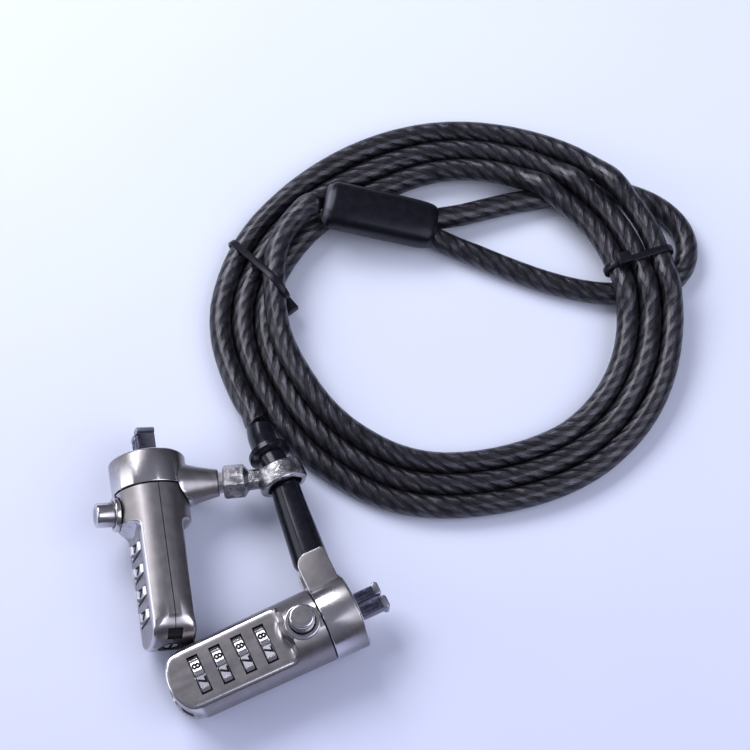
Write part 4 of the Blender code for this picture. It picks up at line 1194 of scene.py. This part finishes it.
def swept(name, points, radii, segments, bore):
    """Round hollow body along points, with its own radius at each."""
    sections, inner = [], []
    for index, point in enumerate(points):
        along = heading(points, index)
        side = along.cross(Vector((0, 0, 1))).normalized()
        up = side.cross(along)
        angles = [math.tau * step / segments for step in range(segments)]
        ways = [side * math.cos(a) + up * math.sin(a) for a in angles]
        sections.append([point + way * radii[index] for way in ways])
        inner.append([point + way * min(bore, radii[index] - 0.1 * MM) for way in ways])
    return loft(name, sections + inner[::-1], closed=True)


def build_boot():
    """Rubber boot from the clevis pin down the cable, with a rounded nose and a flange half way."""
    pin = middle_of("clevis_pin")
    out = (work(*BOOT_ROUTE[0]) - pin).normalized()
    route = smooth_route([pin + out * 1.8 * MM] + [work(*p) for p in BOOT_ROUTE], 0.45 * MM)
    lengths = running_lengths(route)
    flange_point = work(*BOOT_ROUTE[3])
    flange_at = lengths[min(range(len(route)), key=lambda i: (route[i] - flange_point).length)]
    radii = []
    for length in lengths:
        share = ease(length / BOOT_LENGTH) * 0.35 + min(length / BOOT_LENGTH, 1.0) * 0.65
        radius = BOOT_ROOT_RADIUS - BOOT_TAPER * share
        depth = length / BOOT_NOSE
        if depth < 1:
            radius *= 0.72 + 0.28 * math.sqrt(1 - (1 - depth) ** 2)
        from_flange = abs(length - flange_at)
        if from_flange < 0.75 * MM:
            radius = 5.0 * MM
        elif from_flange < 1.1 * MM:
            radius = 4.4 * MM
        radii.append(radius)
    mesh = swept("boot", route, radii, 48, BOOT_BORE)
    make("boot_cover", mesh, RUBBER, None, ("cable", "boot_rubber"), "boot", 45.0)


EYE_HALF = 2.5 * MM
EYE_RADIUS = 5.8 * MM
EYE_ROUND = 0.75 * MM
EYE_BORE = 4.3 * MM
NUT_ROOT = 4.9 * MM
NUT_RADIUS = 4.2 * MM
NUT_END = (8.7 + 4.9) * MM


def build_eye():
    """Cast ring with a six-sided nut on the side that meets the arm."""
    joint = joints["eye_turn"]
    centre = Vector(joint["pos_m"])
    throat = EYE_BORE - 0.15 * MM
    ring = [(-EYE_HALF, EYE_BORE)]
    ring += arc((-EYE_HALF + EYE_ROUND, EYE_RADIUS - EYE_ROUND), EYE_ROUND, 180, 90, 6)
    ring += arc((EYE_HALF - EYE_ROUND, EYE_RADIUS - EYE_ROUND), EYE_ROUND, 90, 0, 6)
    ring += [(EYE_HALF, EYE_BORE), (EYE_HALF - 0.5 * MM, throat), (-EYE_HALF + 0.5 * MM, throat)]
    at = aim(centre, centre + Vector(joint["axis"]))
    link = at.inverted() @ aim(centre, ARM_TIP)
    nut = [(NUT_ROOT, 2.5 * MM), (7.6 * MM, SOCKET_RADIUS), (8.3 * MM, 3.6 * MM), (8.75 * MM, NUT_RADIUS),
           (NUT_END - 0.5 * MM, NUT_RADIUS), (NUT_END, 3.7 * MM)]
    tools = [join(turned("nut", nut, 6), link), cut(rod(8.7 * MM, NUT_END + MM, SOCKET_RADIUS, 40), link)]
    make("eye_fitting_casting", turned("eye", ring, 72, closed=True), CHROME, at, ("eye", "bright_steel"),
         "eye_fitting", 30.0, tools, bevel=0.35 * MM, bevel_angle=40.0, segments=3)


def soft_oval(half_width, half_height, angle, power=0.72):
    """Point on an oval with fuller corners than an ellipse."""
    across = math.copysign(abs(math.cos(angle)) ** power, math.cos(angle))
    up = math.copysign(abs(math.sin(angle)) ** power, math.sin(angle))
    return half_width * across, half_height * up


# share of the sleeve's length and its size there: a soft mouth on the left, a closed nose on the right
SLEEVE_SHAPE = ((0.0, 0.66), (0.003, 0.74), (0.012, 0.80), (0.03, 0.83), (0.045, 0.90), (0.065, 0.965),
                (0.09, 1.0), (0.3, 1.0), (0.6, 0.995), (0.80, 0.985), (0.88, 0.965), (0.93, 0.93),
                (0.965, 0.87), (0.985, 0.76), (0.997, 0.55), (1.0, 0.3))


def build_sleeve():
    """Crimped sleeve that holds both ends of the loop and the end of the cable."""
    left, right = work(-12.4, 41.8, 10.2), work(15.2, 37.4, 5.2)
    along = (right - left).normalized()
    side = along.cross(Vector((0, 0, 1))).normalized()
    up = side.cross(along)
    around = 56
    sections = []
    for share, size in SLEEVE_SHAPE:
        centre = left.lerp(right, share)
        ring = []
        for index in range(around):
            u, v = soft_oval(6.1 * MM * size, 3.85 * MM * size, math.tau * index / around)
            ring.append(centre + side * u + up * v)
        sections.append(ring)
    # painted highlight on the rim of the sleeve's mouth
    make("crimp_sleeve_shell", loft("sleeve", sections), SLEEVE_BLACK, None, ("cable", "black_plastic"),
         "crimp_sleeve", 40.0, polish=lambda co: (co - left).dot(along) < 1.0 * MM)


def hull(points):
    """Convex outline of points in a plane, counter-clockwise."""
    points = sorted(set(points))
    rows = []
    for source in (points, points[::-1]):
        row = []
        for p in source:
            while len(row) > 1:
                (ax, ay), (bx, by) = row[-2:]
                if (bx - ax) * (p[1] - ay) - (by - ay) * (p[0] - ax) > 0:
                    break
                row.pop()
            row.append(p)
        rows.append(row[:-1])
    return rows[0] + rows[1]


def top_of(outline, spot):
    """Height of the upper side of a closed convex outline at one place across it."""
    best = 0.0
    for index, (u, v) in enumerate(outline):
        after = outline[(index + 1) % len(outline)]
        low, high = sorted((u, after[0]))
        if low <= spot <= high and high > low:
            best = max(best, v + (after[1] - v) * (spot - u) / (after[0] - u))
    return best


STRAP_GAP = 0.12
STRAP_THICK = 0.75
STRAP_HALF = 0.85


def strap_outline(middle, strap_way, plane):
    """Outline round every turn that passes through the strap's plane, in millimetres."""
    reach = CORD_RADIUS + STRAP_GAP
    section = []
    for a, b in zip(cable_line, cable_line[1:]):
        first = (a - middle).dot(plane)
        second = (b - middle).dot(plane)
        if first * second <= 0 and (a - middle).length < 20:
            hit = a.lerp(b, first / (first - second) if first != second else 0.0)
            lean = max(abs((b - a).normalized().dot(plane)), 0.5)
            for step in range(24):
                t = math.tau * step / 24
                across = (hit - middle).dot(strap_way) + reach / lean * math.cos(t)
                section.append((round(across, 4), round(hit.z + reach * math.sin(t), 4)))
    return hull(section)


def build_tie(name, place, skew, head_side, head_low):
    """Strap pulled tight round the turns where they pass, with its square head on top or low outside."""
    middle, along, half = ring_at(place)
    outward = Vector((-along.y, along.x, 0))
    strap_way = (outward + along * skew).normalized()
    plane = strap_way.cross(Vector((0, 0, 1)))
    outline = strap_outline(middle, strap_way, plane)
    count = len(outline)
    centre_u, centre_v = sum(p[0] for p in outline) / count, sum(p[1] for p in outline) / count
    wide, thick = STRAP_HALF, STRAP_THICK
    sections = []
    for u, v in outline:
        way = Vector((u - centre_u, v - centre_v)).normalized()
        ring = []
        for grow, shift in ((0.0, -wide), (0.0, wide), (thick * 0.8, wide), (thick, 0.6),
                            (thick, -0.6), (thick * 0.8, -wide)):
            point = middle + strap_way * (u + way.x * grow) + plane * shift
            point.z = max(v + way.y * grow, 0.1)
            ring.append(SHIFT + point * MM)
        sections.append(ring)
    if head_low:
        seat = middle + strap_way * (min(p[0] for p in outline) - 1.0)
        seat.z = 2.6
    else:
        spot = head_side * half * 0.66
        seat = middle + strap_way * spot
        seat.z = top_of(outline, spot) + 0.2
    block = slab("head", oblong(-1.7 * MM, 1.7 * MM, 1.5 * MM), 0, 2.4 * MM, 0.35 * MM)
    turn = Matrix.Rotation(math.atan2(strap_way.y, strap_way.x), 4, "Z")
    head = join(block, Matrix.Translation(SHIFT + seat * MM) @ turn)
    make(name + "_strap", loft("tie", sections, closed=True), NYLON, None, ("cable", "matte_black"), name,
         40.0, [head])


build_boot()
build_eye()
build_sleeve()
build_tie("tie_left", 0.8, 0.5, -1, True)
build_tie("tie_right", 5.62, 0.0, -1, False)

hook_pins = [f"hook_pin_{side}_{tag}" for side in ("far", "near") for tag in "ab"]
for node in ["clevis_pin", "ferrule", "arm_stud"] + hook_pins:
    materials = bpy.data.objects[node].data.materials
    materials.clear()
    materials.append(PIN_STEEL)


# ---------------------------------------------------------------- floor and light
def build_floor():
    size = 1.6
    builder = bmesh.new()
    builder.faces.new([builder.verts.new((x, y, 0)) for x, y in oblong(-size, size, size)])
    floor = add("floor", keep_mesh("floor", builder), FLOOR, Matrix.Translation(work(0, 0, 0)))
    settle_coordinates(floor)


def lamp(name, spot, target, size, power, colour):
    data = bpy.data.lights.new(name, "AREA")
    data.shape = "RECTANGLE"
    data.size, data.size_y = size
    data.energy = power
    data.color = colour
    item = bpy.data.objects.new(name, data)
    bpy.context.scene.collection.objects.link(item)
    item.location = work(*spot)
    item.rotation_euler = (work(*target) - item.location).to_track_quat("-Z", "Y").to_euler()


def build_room():
    """Soft grey surroundings, darker towards the floor."""
    world = bpy.data.worlds.new("room")
    world.use_nodes = True
    bpy.context.scene.world = world
    tree = world.node_tree
    back = tree.nodes["Background"]
    place = tree.nodes.new("ShaderNodeTexCoord")
    parts = tree.nodes.new("ShaderNodeSeparateXYZ")
    ramp = tree.nodes.new("ShaderNodeValToRGB")
    tree.links.new(place.outputs["Generated"], parts.inputs["Vector"])
    tree.links.new(parts.outputs["Z"], ramp.inputs["Fac"])
    stops = ramp.color_ramp.elements
    stops[0].position, stops[0].color = 0.0, (0.16, 0.16, 0.20, 1)
    stops[1].position, stops[1].color = 1.0, (0.62, 0.64, 0.78, 1)
    stops.new(0.35).color = (0.30, 0.30, 0.38, 1)
    tree.links.new(ramp.outputs["Color"], back.inputs["Color"])
    back.inputs["Strength"].default_value = 0.45


build_floor()
build_room()
lamp("key", (-420, 420, 620), (0, 0, 0), (0.55, 0.40), 5.6, (0.95, 0.96, 1.0))
lamp("left", (-600, -60, 260), (0, -20, 0), (0.30, 0.5), 1.0, (0.95, 0.96, 1.0))
lamp("fill", (380, -180, 520), (0, 0, 0), (0.5, 0.5), 2.0, (0.85, 0.88, 1.0))
bpy.context.scene.view_settings.view_transform = "Standard"
bpy.context.scene.view_settings.look = "None"
